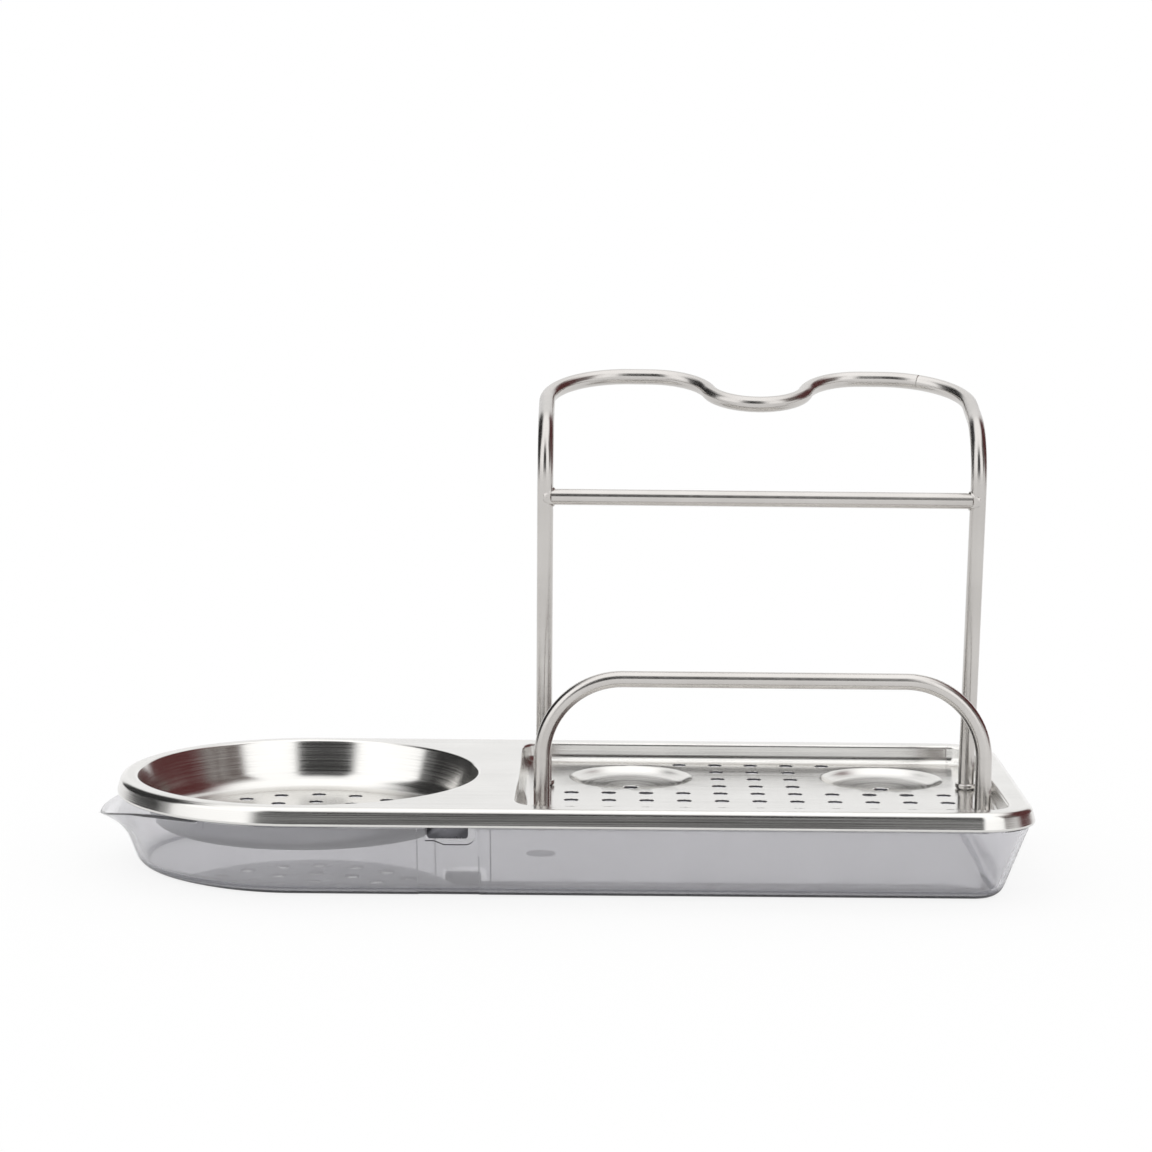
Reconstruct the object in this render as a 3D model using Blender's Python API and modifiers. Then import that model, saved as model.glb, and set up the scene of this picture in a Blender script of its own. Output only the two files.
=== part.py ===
"""Sink organizer: a pressed steel pan with a soap bowl and a brush rack, on a smoky plastic drip tray.

Metres, +Z up, counter at z = 0. The long side is along X, the bowl and the pouring spout are at -X,
and the two hoops that hold brushes and sponges stand at +X. The origin is under the middle of the
whole length. The tray stands on the counter; everything else lifts off it as one rack.
"""

import math

import bmesh
import bpy

# Pressed pan
PAN_LENGTH = 0.3056
PAN_WIDTH = 0.1286
PAN_CORNER_RADIUS = 0.020
PAN_TOP = 0.0311
SHEET = 0.0008
RIM_RADIUS = 0.0030
RIM_DEPTH = 0.0063

# Soap bowl, pressed into the round end of the pan
BOWL_BORDER = 0.00645
BOWL_DEPTH = 0.0161
BOWL_LIP_RADIUS = 0.00245
BOWL_FLOOR_RADIUS = 0.0485
BOWL_FILLET = 0.0060

# Rack recess, pressed into the square end
RECESS_WEB = 0.01275
RECESS_SIDE_BORDER = 0.0073
RECESS_END_BORDER = 0.0084
RECESS_CORNER_RADIUS = 0.010
RECESS_DEPTH = 0.0066
RECESS_LIP_RADIUS = 0.0018
RECESS_DRAFT = 0.0004
RECESS_FILLET = 0.0012

# Round cups in the recess floor, where brush handles stand
CUP_RADIUS = 0.02105
CUP_DEPTH = 0.0034
CUP_TO_BACK = 0.0298
LEFT_GAP_SHARE = 0.149
RIGHT_GAP_SHARE = 0.110

# Drain holes: a square grid in the recess, rings in the bowl
HOLE_RADIUS = 0.0024
HOLE_PITCH = 0.0127
BACK_ROW_TO_WALL = 0.0074
GRID_SHIFT = 0.0003
HOLE_TO_CUP = 0.0030
HOLE_TO_LEG = 0.0080
HOLE_TO_FILLET = 0.0006

# Wire hoops
WIRE_RADIUS = 0.0027
LEG_MARGIN_LEFT = 0.0091
LEG_MARGIN_RIGHT = 0.0076
REAR_LEG_TO_BACK = 0.0455
FRONT_LEG_TO_FRONT = 0.0230
FOOT_HEIGHT = 0.0080
LEAN_RADIUS = 0.0200
LEAN_DEGREES = 5.3
BAR_HEIGHT = 0.1003
FOLD_HEIGHT = 0.1035
FOLD_RADIUS = 0.0214
FOLD_DEGREES = 75.9
REAR_CORNER_RADIUS = 0.0284
DIP_DEPTH = 0.0294
DIP_SHARE = 0.838
FRONT_HOOP_HEIGHT = 0.0446
FRONT_CORNER_RADIUS = 0.0263

# Feet of the hoops: a collar on the floor, a nut under it
COLLAR_RADIUS = 0.0037
COLLAR_HEIGHT = 0.0017
COLLAR_BEVEL = 0.0004
NUT_FLATS = 0.0080
NUT_HEIGHT = 0.0035
LEG_BEYOND_NUT = 0.0008

# Drip tray
TRAY_INSET = 0.0012
TRAY_WALL = 0.0020
TRAY_SKIRT = 0.0055
TRAY_DRAFT_DEGREES = 20.8
TRAY_FILLET = 0.0060
THIN_EDGE_SHARE = 0.1
THICK_EDGE_SHARE = 0.85
KNEE_SHARE = 0.85

# Pouring spout at the tray's round end
SPOUT_LIP_HEIGHT = 0.0162
SPOUT_LIP_RISE = 0.0084
NOSE_REACH = 0.0035
LIP_REACH = 0.0080
LIP_CURL_HEIGHT = 0.0090
WINDOW_HALF_DEGREES = 60
LIP_HALF_DEGREES = 33
LIP_CURL_POWER = 2.3

# Locating windows in the tray's long sides, each in a shallow panel, with the pan's tabs in them
PANEL_TO_RECESS = 0.0109
PANEL_WIDTH = 0.0195
PANEL_RECESS = 0.0004
WINDOW_TO_PANEL = 0.0010
WINDOW_WIDTH = 0.0160
WINDOW_DEPTH = 0.0113
WINDOW_STEP = 0.0014
WINDOW_STEP_RUN = 0.0027
WINDOW_SLOPE_RUN = 0.0033
WINDOW_CORNER = 0.0033
TAB_WIDTH = 0.0131
TAB_DROP = 0.0100
TAB_FOOT = 0.0080
TAB_INSET = 0.0004
TAB_PLAY = 0.0007
TAB_RADIUS = 0.0012

# Moulding mark under the tray's floor
GATE_TO_BOWL = 0.0789
GATE_Y = 0.0075
GATE_RADIUS = 0.00525
GATE_DEPTH = 0.0005

# Gap kept between neighbours that touch, how far a cutter overshoots, and how near points are joined
CLEARANCE = 0.0003
OVERSHOOT = 0.0020
MERGE_DISTANCE = 0.0001

# Facets of arcs and circles
HOLE_SIDES = 10
BORE_SIDES = 12
BOWL_SIDES = 56
CUP_SIDES = 28
CORNER_STEPS = 7
END_STEPS = 36
FILLET_STEPS = 3
RIM_STEPS = 4
WALL_STEPS = 4
BEND_STEP_DEGREES = 11
TUBE_RESOLUTION = 3
ROUND_SIDES = 24
NUT_SIDES = 6

# Holes in the bowl: this many more in each ring outward
RING_HOLES = 6

# Places that follow from the sizes above, seen from the pan's middle
BOWL_X = (PAN_WIDTH - PAN_LENGTH) / 2
BOWL_MOUTH_RADIUS = PAN_WIDTH / 2 - BOWL_BORDER
RECESS_LEFT = BOWL_X + BOWL_MOUTH_RADIUS + RECESS_WEB
RECESS_RIGHT = PAN_LENGTH / 2 - RECESS_END_BORDER
RECESS_HALF_WIDTH = PAN_WIDTH / 2 - RECESS_SIDE_BORDER
LEG_LEFT = RECESS_LEFT + LEG_MARGIN_LEFT
LEG_RIGHT = RECESS_RIGHT - LEG_MARGIN_RIGHT
RACK_X = (LEG_LEFT + LEG_RIGHT) / 2
REAR_LEG_Y = RECESS_HALF_WIDTH - REAR_LEG_TO_BACK
FRONT_LEG_Y = FRONT_LEG_TO_FRONT - RECESS_HALF_WIDTH
DIP_HALF_WIDTH = ((LEG_RIGHT - LEG_LEFT) / 2 - REAR_CORNER_RADIUS) * DIP_SHARE
TRAY_HEIGHT = PAN_TOP - SHEET - CLEARANCE
TRAY_END_RADIUS = PAN_WIDTH / 2 - TRAY_INSET
TRAY_EDGE_RADIUS = RIM_RADIUS - TRAY_INSET
LEG_BORE = WIRE_RADIUS + CLEARANCE
UNDER_FLOOR = -RECESS_DEPTH - SHEET
NUT_TOP = UNDER_FLOOR - CLEARANCE
LEG_END = NUT_TOP - NUT_HEIGHT - LEG_BEYOND_NUT


def clear_scene():
    """Start from an empty scene."""
    for item in list(bpy.context.scene.objects):
        bpy.data.objects.remove(item, do_unlink=True)


def make_collection(name):
    """A collection under the scene's own."""
    collection = bpy.data.collections.new(name)
    bpy.context.scene.collection.children.link(collection)
    return collection


def make_material(name, colour, roughness, metallic, transmission=0.0):
    """A Principled material with the part's colour."""
    material = bpy.data.materials.new(name)
    material.use_nodes = True
    shader = material.node_tree.nodes["Principled BSDF"]
    shader.inputs["Base Color"].default_value = (*colour, 1.0)
    shader.inputs["Roughness"].default_value = roughness
    shader.inputs["Metallic"].default_value = metallic
    shader.inputs["Transmission Weight"].default_value = transmission
    return material


def add_object(name, data, collection, material=None, parent=None, location=(0, 0, 0)):
    """Link a mesh or curve as a named object, under its parent."""
    item = bpy.data.objects.new(name, data)
    collection.objects.link(item)
    item.location = location
    item.parent = parent
    if material:
        data.materials.append(material)
    return item


def finish_mesh(name, bm, smooth_degrees=40):
    """Turn a bmesh into mesh data with smooth round faces."""
    data = bpy.data.meshes.new(name)
    bm.to_mesh(data)
    bm.free()
    data.shade_smooth()
    data.set_sharp_from_angle(angle=math.radians(smooth_degrees))
    return data


def as_cutter(item):
    """Show a cutting shape as wires and leave it out of renders."""
    item.hide_render = True
    item.display_type = "WIRE"
    return item


def cut(item, cutter, solver="EXACT"):
    """Take the cutter's shape out of the item."""
    boolean = item.modifiers.new(cutter.name, "BOOLEAN")
    boolean.operation = "DIFFERENCE"
    boolean.object = cutter
    boolean.solver = solver


def arc(centre, radius, start, end, steps):
    """Points along an arc in a plane, both ends included, angles in degrees."""
    points = []
    for step in range(steps + 1):
        angle = math.radians(start + (end - start) * step / steps)
        points.append((centre[0] + radius * math.cos(angle), centre[1] + radius * math.sin(angle)))
    return points


def circle(centre, radius, sides, start=0):
    """Corner points of a regular polygon, the last one not repeated."""
    return arc(centre, radius, start, start + 360, sides)[:-1]


def outline(corners, inset):
    """Joined corner arcs (centre, radius, start, end, steps), all moved inward by the inset."""
    points = []
    for centre, radius, start, end, steps in corners:
        points += arc(centre, radius - inset, start, end, steps)
    return points


def rounded_corners(left, right, half_width, radius, steps):
    """The four corner arcs of a rounded rectangle, centred on y = 0."""
    far_left = left + radius
    far_right = right - radius
    reach = half_width - radius
    return [
        ((far_left, reach), radius, 90, 180, steps),
        ((far_left, -reach), radius, 180, 270, steps),
        ((far_right, -reach), radius, 270, 360, steps),
        ((far_right, reach), radius, 0, 90, steps),
    ]


def add_ring(bm, points, height):
    """A loop of vertices at one height."""
    return [bm.verts.new((x, y, height)) for x, y in points]


def skin(bm, rings):
    """Quads between neighbouring rings of equal count."""
    for lower, upper in zip(rings, rings[1:]):
        for index in range(len(lower)):
            before = index - 1
            bm.faces.new((lower[before], lower[index], upper[index], upper[before]))


def add_holes(bm, centres, radius, sides, height):
    """Round holes as loops of vertices, all at one height."""
    return [add_ring(bm, circle(centre, radius, sides), height) for centre in centres]


def ring_edges(bm, ring):
    """The edges round a ring, made where they are missing."""
    edges = []
    for index in range(len(ring)):
        pair = (ring[index - 1], ring[index])
        edges.append(bm.edges.get(pair) or bm.edges.new(pair))
    return edges


def fill_between(bm, rings):
    """A flat sheet inside the first ring and outside all the others."""
    edges = []
    for ring in rings:
        edges += ring_edges(bm, ring)
    bmesh.ops.triangle_fill(bm, use_beauty=True, use_dissolve=False, edges=edges)


def rim_profile():
    """The pan's turned-down rim, from its lower edge up to the flat top, as (inset, height)."""
    return [(0, -RIM_DEPTH)] + arc((RIM_RADIUS, -RIM_RADIUS), RIM_RADIUS, 180, 90, RIM_STEPS)


def recess_profile():
    """From the flat top over the lip and down the wall to the recess floor, as (inset, height)."""
    lip = arc((0, -RECESS_LIP_RADIUS), RECESS_LIP_RADIUS, 90, 0, FILLET_STEPS)
    fillet_inset = RECESS_LIP_RADIUS + RECESS_DRAFT + RECESS_FILLET
    fillet_centre = (fillet_inset, -RECESS_DEPTH + RECESS_FILLET)
    return lip + arc(fillet_centre, RECESS_FILLET, 180, 270, FILLET_STEPS)


def bowl_profile():
    """From the flat top over the lip and down to the bowl's floor, as (radius, height)."""
    lip_centre = (BOWL_MOUTH_RADIUS, -BOWL_LIP_RADIUS)
    lip = arc(lip_centre, BOWL_LIP_RADIUS, 90, 180, FILLET_STEPS)
    fillet_centre = (BOWL_FLOOR_RADIUS, -BOWL_DEPTH + BOWL_FILLET)
    return lip + arc(fillet_centre, BOWL_FILLET, 0, -90, FILLET_STEPS + 1)


def cup_profile():
    """A shallow round cup from its edge down to its drain hole, as (radius, height)."""
    steps = FILLET_STEPS + 1
    profile = []
    for step in range(steps + 1):
        share = step / steps
        radius = CUP_RADIUS + (HOLE_RADIUS - CUP_RADIUS) * share
        depth = CUP_DEPTH * math.sin(share * math.pi / 2)
        profile.append((radius, -RECESS_DEPTH - depth))
    return profile


def cup_centres():
    """Both cups between the rear legs: the gaps beside them are shares of the room that they leave."""
    room = LEG_RIGHT - LEG_LEFT - 4 * CUP_RADIUS
    left = LEG_LEFT + room * LEFT_GAP_SHARE + CUP_RADIUS
    right = LEG_RIGHT - room * RIGHT_GAP_SHARE - CUP_RADIUS
    y = RECESS_HALF_WIDTH - CUP_TO_BACK
    return [(left, y), (right, y)]


def leg_places():
    """Where each hoop leg passes through the recess floor."""
    return {
        "front_left": (LEG_LEFT, FRONT_LEG_Y),
        "front_right": (LEG_RIGHT, FRONT_LEG_Y),
        "rear_left": (LEG_LEFT, REAR_LEG_Y),
        "rear_right": (LEG_RIGHT, REAR_LEG_Y),
    }


def grid_hole_centres():
    """The square grid of drain holes: full rows in front, and behind them only what fits between the cups."""
    inset = RECESS_LIP_RADIUS + RECESS_DRAFT + RECESS_FILLET + HOLE_TO_FILLET + HOLE_RADIUS
    back_row = RECESS_HALF_WIDTH - BACK_ROW_TO_WALL
    rows = int((back_row + RECESS_HALF_WIDTH - inset) / HOLE_PITCH) + 1
    side_columns = int(((LEG_RIGHT - LEG_LEFT) / 2 - HOLE_TO_LEG) / HOLE_PITCH)
    clear_radius = CUP_RADIUS + HOLE_RADIUS + HOLE_TO_CUP
    cups = cup_centres()
    (left, cup_y), (right, _) = cups
    centres = []
    for row in range(rows):
        y = back_row - row * HOLE_PITCH
        for column in range(-side_columns, side_columns + 1):
            x = RACK_X + GRID_SHIFT + column * HOLE_PITCH
            near_cup = min(math.dist((x, y), cup) for cup in cups) < clear_radius
            behind = y > cup_y - CUP_RADIUS and not left < x < right
            if not near_cup and not behind:
                centres.append((x, y))
    return centres


def bowl_hole_centres():
    """One hole in the middle of the bowl, and rings round it that each have six more holes than the last."""
    rings = int((BOWL_FLOOR_RADIUS - HOLE_RADIUS - HOLE_TO_FILLET) / HOLE_PITCH)
    centres = [(BOWL_X, 0)]
    for ring in range(1, rings + 1):
        centres += circle((BOWL_X, 0), ring * HOLE_PITCH, ring * RING_HOLES, 90)
    return centres


def make_pan(collection, material, rack):
    """The pan: one sheet with rim, bowl, recess, cups and holes, thickened downward."""
    bm = bmesh.new()
    half = PAN_WIDTH / 2
    right = PAN_LENGTH / 2
    corner_x = right - PAN_CORNER_RADIUS
    corner_y = half - PAN_CORNER_RADIUS
    pan_corners = [
        ((BOWL_X, 0), half, 90, 270, END_STEPS),
        ((corner_x, -corner_y), PAN_CORNER_RADIUS, 270, 360, CORNER_STEPS),
        ((corner_x, corner_y), PAN_CORNER_RADIUS, 0, 90, CORNER_STEPS),
    ]
    rim = [add_ring(bm, outline(pan_corners, inset), height) for inset, height in rim_profile()]
    skin(bm, rim)

    bowl = []
    for radius, height in bowl_profile():
        bowl.append(add_ring(bm, circle((BOWL_X, 0), radius, BOWL_SIDES), height))
    skin(bm, bowl)

    reach = (RECESS_LEFT, RECESS_RIGHT, RECESS_HALF_WIDTH)
    recess_corners = rounded_corners(*reach, RECESS_CORNER_RADIUS, CORNER_STEPS)
    recess = [add_ring(bm, outline(recess_corners, inset), height) for inset, height in recess_profile()]
    skin(bm, recess)
    fill_between(bm, [rim[-1], bowl[0], recess[0]])

    cup_edges = []
    for centre in cup_centres():
        cup = [add_ring(bm, circle(centre, radius, CUP_SIDES), height) for radius, height in cup_profile()]
        skin(bm, cup)
        cup_edges.append(cup[0])
    drains = add_holes(bm, grid_hole_centres(), HOLE_RADIUS, HOLE_SIDES, -RECESS_DEPTH)
    legs = add_holes(bm, leg_places().values(), LEG_BORE, BORE_SIDES, -RECESS_DEPTH)
    fill_between(bm, [recess[-1]] + cup_edges + drains + legs)

    drains = add_holes(bm, bowl_hole_centres(), HOLE_RADIUS, HOLE_SIDES, -BOWL_DEPTH)
    fill_between(bm, [bowl[-1]] + drains)

    bmesh.ops.recalc_face_normals(bm, faces=bm.faces)
    if min(bm.faces, key=lambda face: face.calc_center_median().z).normal.z < 0:
        bmesh.ops.reverse_faces(bm, faces=bm.faces)
    pan = add_object("top_pan", finish_mesh("top_pan", bm), collection, material, rack)
    solidify = pan.modifiers.new("sheet", "SOLIDIFY")
    solidify.thickness = SHEET
    solidify.offset = -1
    solidify.use_even_offset = True
    return pan


def make_wire(name, points, collection, material, rack):
    """A round wire along the points, with flat ends."""
    curve = bpy.data.curves.new(name, "CURVE")
    curve.dimensions = "3D"
    curve.bevel_depth = WIRE_RADIUS
    curve.bevel_resolution = TUBE_RESOLUTION
    curve.use_fill_caps = True
    spline = curve.splines.new("POLY")
    spline.points.add(len(points) - 1)
    for target, point in zip(spline.points, points):
        target.co = (*point, 1.0)
    return add_object(name, curve, collection, material, rack)


def dip_half():
    """Half of the dip as two equal arcs: points (x, height below the top) from its middle outward and up."""
    turn = 2 * math.atan(DIP_DEPTH / DIP_HALF_WIDTH)
    radius = DIP_HALF_WIDTH / (2 * math.sin(turn))
    degrees = math.degrees(turn)
    lower = arc((0, -DIP_DEPTH + radius), radius, -90, degrees - 90, CORNER_STEPS)
    upper = arc((DIP_HALF_WIDTH, -radius), radius, degrees + 90, 90, CORNER_STEPS)
    return lower + upper[1:]


def along(runs, length):
    """Side position (y, z) at a length up the rear hoop's wire, through runs of (length, backward turn)."""
    y = REAR_LEG_Y
    z = LEG_END
    heading = 0
    for run, turn in runs:
        reached = min(length, run)
        if turn:
            radius = run / turn
            bent = reached / radius
            y += radius * (math.cos(heading) - math.cos(heading + bent))
            z += radius * (math.sin(heading + bent) - math.sin(heading))
            heading += bent
        else:
            y += reached * math.sin(heading)
            z += reached * math.cos(heading)
        length -= reached
    return y, z


def leg_runs(height):
    """Runs of a rear leg from its end up to a height above the recess floor: an upright foot, then a lean."""
    lean = math.radians(LEAN_DEGREES)
    foot = -RECESS_DEPTH + FOOT_HEIGHT - LEG_END
    rise = (height - FOOT_HEIGHT - LEAN_RADIUS * math.sin(lean)) / math.cos(lean)
    return [(foot, 0), (LEAN_RADIUS * lean, -lean), (rise, 0)]


def wire_length(runs):
    """Length of all the runs together."""
    return sum(run for run, _ in runs)


def rear_runs():
    """All runs of the rear hoop seen from its side; the folded top ends in line with the pan's back edge."""
    fold = math.radians(FOLD_DEGREES)
    turn = fold + math.radians(LEAN_DEGREES)
    runs = leg_runs(FOLD_HEIGHT) + [(FOLD_RADIUS * turn, turn)]
    back = PAN_WIDTH / 2 - WIRE_RADIUS - CLEARANCE
    reach = back - along(runs, wire_length(runs))[0]
    return runs + [(reach / math.sin(fold), 0)]


def rear_outline(runs, half_span):
    """The rear hoop laid flat: points (x, length up the wire), from the left foot to the right foot."""
    top = wire_length(runs)
    corner_x = half_span - REAR_CORNER_RADIUS
    corner = arc((corner_x, top - REAR_CORNER_RADIUS), REAR_CORNER_RADIUS, 90, 0, CORNER_STEPS)
    dip = [(x, top + drop) for x, drop in dip_half()]
    leg = []
    start = 0
    for run, turn in runs[:-1]:
        steps = max(round(math.degrees(abs(turn)) / BEND_STEP_DEGREES), 1)
        leg += [(half_span, start + run * step / steps) for step in range(steps)]
        start += run
    leg.append((half_span, start))
    half = dip + corner + leg[::-1]
    return [(-x, length) for x, length in reversed(half[1:])] + half


def make_rear_hoop(collection, material, rack):
    """The tall hoop: its top is folded back nearly level and dips in the middle, with a loop on each side."""
    runs = rear_runs()
    points = []
    for x, length in rear_outline(runs, (LEG_RIGHT - LEG_LEFT) / 2):
        points.append((RACK_X + x, *along(runs, length)))
    return make_wire("rear_hoop", points, collection, material, rack)


def make_front_hoop(collection, material, rack):
    """The low hoop in front: two legs and a level top with round corners."""
    half_span = (LEG_RIGHT - LEG_LEFT) / 2
    corner_x = half_span - FRONT_CORNER_RADIUS
    corner_z = -RECESS_DEPTH + FRONT_HOOP_HEIGHT - FRONT_CORNER_RADIUS
    half = arc((corner_x, corner_z), FRONT_CORNER_RADIUS, 90, 0, CORNER_STEPS) + [(half_span, LEG_END)]
    flat = [(-x, z) for x, z in reversed(half)] + half
    points = [(RACK_X + x, FRONT_LEG_Y, z) for x, z in flat]
    return make_wire("front_hoop", points, collection, material, rack)


def make_cylinder(radius, height, sides=ROUND_SIDES):
    """Bmesh of an upright cylinder centred on its origin."""
    bm = bmesh.new()
    bmesh.ops.create_cone(bm, cap_ends=True, segments=sides, radius1=radius, radius2=radius, depth=height)
    return bm


def make_cross_bar(collection, cutters, material, rack):
    """The bar between the rear legs, its ends hollowed to sit against the round wire."""
    length = LEG_RIGHT - LEG_LEFT
    runs = leg_runs(BAR_HEIGHT)
    y, height = along(runs, wire_length(runs))
    bar_mesh = finish_mesh("cross_bar", make_cylinder(WIRE_RADIUS, length, BORE_SIDES))
    bar = add_object("cross_bar", bar_mesh, collection, material, rack, (RACK_X, y, height))
    bar.rotation_euler = (0, math.radians(90), 0)
    notch_mesh = finish_mesh("bar_end_notch", make_cylinder(LEG_BORE, 2 * (WIRE_RADIUS + OVERSHOOT)))
    for side, x in (("left", LEG_LEFT), ("right", LEG_RIGHT)):
        notch = add_object("bar_end_notch_" + side, notch_mesh, cutters, None, rack, (x, y, height))
        notch.rotation_euler = (math.radians(LEAN_DEGREES), 0, 0)
        cut(bar, as_cutter(notch))
    return bar


def make_collar_mesh(material):
    """A turned ring with bevelled edges round a hoop leg."""
    profile = [
        (LEG_BORE, COLLAR_HEIGHT),
        (COLLAR_RADIUS - COLLAR_BEVEL, COLLAR_HEIGHT),
        (COLLAR_RADIUS, COLLAR_HEIGHT - COLLAR_BEVEL),
        (COLLAR_RADIUS, 0),
        (LEG_BORE, 0),
    ]
    data = bpy.data.meshes.new("leg_collar")
    edges = [(index, (index + 1) % len(profile)) for index in range(len(profile))]
    data.from_pydata([(x, 0, z) for x, z in profile], edges, [])
    data.materials.append(material)
    return data


def make_collars(collection, material, rack):
    """A collar on the recess floor at each leg."""
    data = make_collar_mesh(material)
    height = -RECESS_DEPTH + CLEARANCE
    for place, (x, y) in leg_places().items():
        collar = add_object("leg_collar_" + place, data, collection, None, rack, (x, y, height))
        screw = collar.modifiers.new("turn", "SCREW")
        screw.steps = BORE_SIDES
        screw.render_steps = BORE_SIDES
        screw.use_merge_vertices = True
        screw.merge_threshold = MERGE_DISTANCE
        screw.use_smooth_shade = False


def make_nuts(collection, cutters, material, rack):
    """A hexagon nut under the recess floor at each leg."""
    bore_mesh = finish_mesh("nut_bore", make_cylinder(LEG_BORE, NUT_HEIGHT + OVERSHOOT, BORE_SIDES))
    nut_mesh = finish_mesh("leg_nut", make_cylinder(NUT_FLATS / math.sqrt(3), NUT_HEIGHT, NUT_SIDES))
    nut_mesh.materials.append(material)
    height = NUT_TOP - NUT_HEIGHT / 2
    for place, (x, y) in leg_places().items():
        nut = add_object("leg_nut_" + place, nut_mesh, collection, None, rack, (x, y, height))
        bore = add_object("nut_bore_" + place, bore_mesh, cutters, None, rack, (x, y, height))
        cut(nut, as_cutter(bore))


def window_left():
    """Left side of the tray's windows, seen from the pan's middle."""
    return RECESS_LEFT - PANEL_TO_RECESS - WINDOW_TO_PANEL - WINDOW_WIDTH


def make_tabs(collection, material, rack):
    """Bent tabs under the pan's long sides that drop into the tray's windows."""
    left = window_left() + TAB_PLAY
    top = -SHEET - CLEARANCE
    face_y = PAN_WIDTH / 2 - TRAY_INSET - TAB_INSET
    bend = arc((face_y - TAB_RADIUS, top - TAB_RADIUS), TAB_RADIUS, 90, 0, FILLET_STEPS)
    path = [(face_y - TAB_FOOT, top)] + bend + [(face_y, top - TAB_DROP)]
    for place, side in (("front", -1), ("back", 1)):
        bm = bmesh.new()
        near = [bm.verts.new((left, side * y, z)) for y, z in path]
        far = [bm.verts.new((left + TAB_WIDTH, side * y, z)) for y, z in path]
        for index in range(1, len(path)):
            bm.faces.new((near[index - 1], near[index], far[index], far[index - 1]))
        if side > 0:
            bmesh.ops.reverse_faces(bm, faces=bm.faces)
        tab = add_object("locating_tab_" + place, finish_mesh("locating_tab", bm), collection, material, rack)
        solidify = tab.modifiers.new("sheet", "SOLIDIFY")
        solidify.thickness = SHEET
        solidify.offset = -1
        solidify.use_even_offset = True


def wall_offset(height):
    """How far the tray's outer wall leans inward at a height; the skirt inside the pan's rim is upright."""
    lean = math.tan(math.radians(TRAY_DRAFT_DEGREES))
    return -lean * max(TRAY_HEIGHT - TRAY_SKIRT - height, 0)


def bump(turn, half_turn):
    """A smooth hump: 1 straight ahead, 0 at the half turn and beyond."""
    return 0.5 + 0.5 * math.cos(math.pi * min(abs(turn) / half_turn, 1))


def lip_height(turn):
    """Height of the tray's edge: low at the spout's tip, and full height past the pouring window."""
    if abs(turn) <= WINDOW_HALF_DEGREES:
        return SPOUT_LIP_HEIGHT + SPOUT_LIP_RISE * math.sin(math.pi / 2 * abs(turn) / WINDOW_HALF_DEGREES)
    return TRAY_HEIGHT


def tray_profile(height, nose, curl, recess):
    """One section of the tray wall as (offset, height): up the outside, over the edge, down the inside.

    The offset is measured outward from the skirt. The nose pushes the whole section out, the curl only
    bends its upper edge out, and the recess sets the outside back.
    """
    draft = math.radians(TRAY_DRAFT_DEGREES)
    wall = TRAY_WALL / math.cos(draft)
    foot = TRAY_FILLET * (1 - math.sin(draft))
    centre = (wall_offset(foot) - TRAY_FILLET * math.cos(draft), TRAY_FILLET)
    edge_share = max((height - SPOUT_LIP_HEIGHT) / (TRAY_HEIGHT - SPOUT_LIP_HEIGHT), THIN_EDGE_SHARE)
    edge = min(TRAY_EDGE_RADIUS, (wall - recess) * THICK_EDGE_SHARE) * edge_share
    shoulder = height - edge
    knee = min(TRAY_HEIGHT - TRAY_SKIRT, foot + (shoulder - foot) * KNEE_SHARE)
    levels = [foot + (knee - foot) * step / WALL_STEPS for step in range(1, WALL_STEPS + 1)]
    levels += [(knee + shoulder) / 2, shoulder]

    outer = arc(centre, TRAY_FILLET, -90, -TRAY_DRAFT_DEGREES, FILLET_STEPS)
    outer += [(wall_offset(level), level) for level in levels]
    outer += arc((wall_offset(shoulder) - edge, shoulder), edge, 0, 90, FILLET_STEPS)[1:]
    inner = [(wall_offset(height) - wall, height)]
    inner += [(wall_offset(level) - wall, level) for level in reversed(levels)]
    inner += arc(centre, TRAY_FILLET - TRAY_WALL, -TRAY_DRAFT_DEGREES, -90, FILLET_STEPS)

    section = []
    for offset, level in [(offset - recess, level) for offset, level in outer] + inner:
        curl_share = max(1 - (height - level) / LIP_CURL_HEIGHT, 0) ** LIP_CURL_POWER
        section.append((offset + nose + curl * curl_share, level))
    return section


def spout_section(turn):
    """The wall's section at an angle from the spout's tip."""
    nose = NOSE_REACH * bump(turn, WINDOW_HALF_DEGREES)
    curl = LIP_REACH * bump(turn, LIP_HALF_DEGREES)
    return tray_profile(lip_height(turn), nose, curl, 0)


def tray_sections():
    """Every section round the tray, as (arc centre, arc radius, direction in degrees, profile)."""
    plain = tray_profile(TRAY_HEIGHT, 0, 0, 0)
    sunk = tray_profile(TRAY_HEIGHT, 0, 0, PANEL_RECESS)
    sections = []
    for step in range(END_STEPS + 1):
        turn = 180 * step / END_STEPS - 90
        sections.append(((BOWL_X, 0), TRAY_END_RADIUS, 180 + turn, spout_section(turn)))
    panel_right = RECESS_LEFT - PANEL_TO_RECESS
    panel_left = panel_right - PANEL_WIDTH
    panel = [(panel_left - PANEL_RECESS, plain), (panel_left, sunk)]
    panel += [(panel_right, sunk), (panel_right + PANEL_RECESS, plain)]
    sections += [((x, 0), TRAY_END_RADIUS, 270, profile) for x, profile in panel]
    radius = PAN_CORNER_RADIUS - TRAY_INSET
    corner_x = PAN_LENGTH / 2 - PAN_CORNER_RADIUS
    corner_y = PAN_WIDTH / 2 - PAN_CORNER_RADIUS
    for side, start in ((-1, 270), (1, 0)):
        for step in range(CORNER_STEPS + 1):
            direction = start + 90 * step / CORNER_STEPS
            sections.append(((corner_x, side * corner_y), radius, direction, plain))
    sections += [((x, 0), TRAY_END_RADIUS, 90, profile) for x, profile in reversed(panel)]
    return sections


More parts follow.
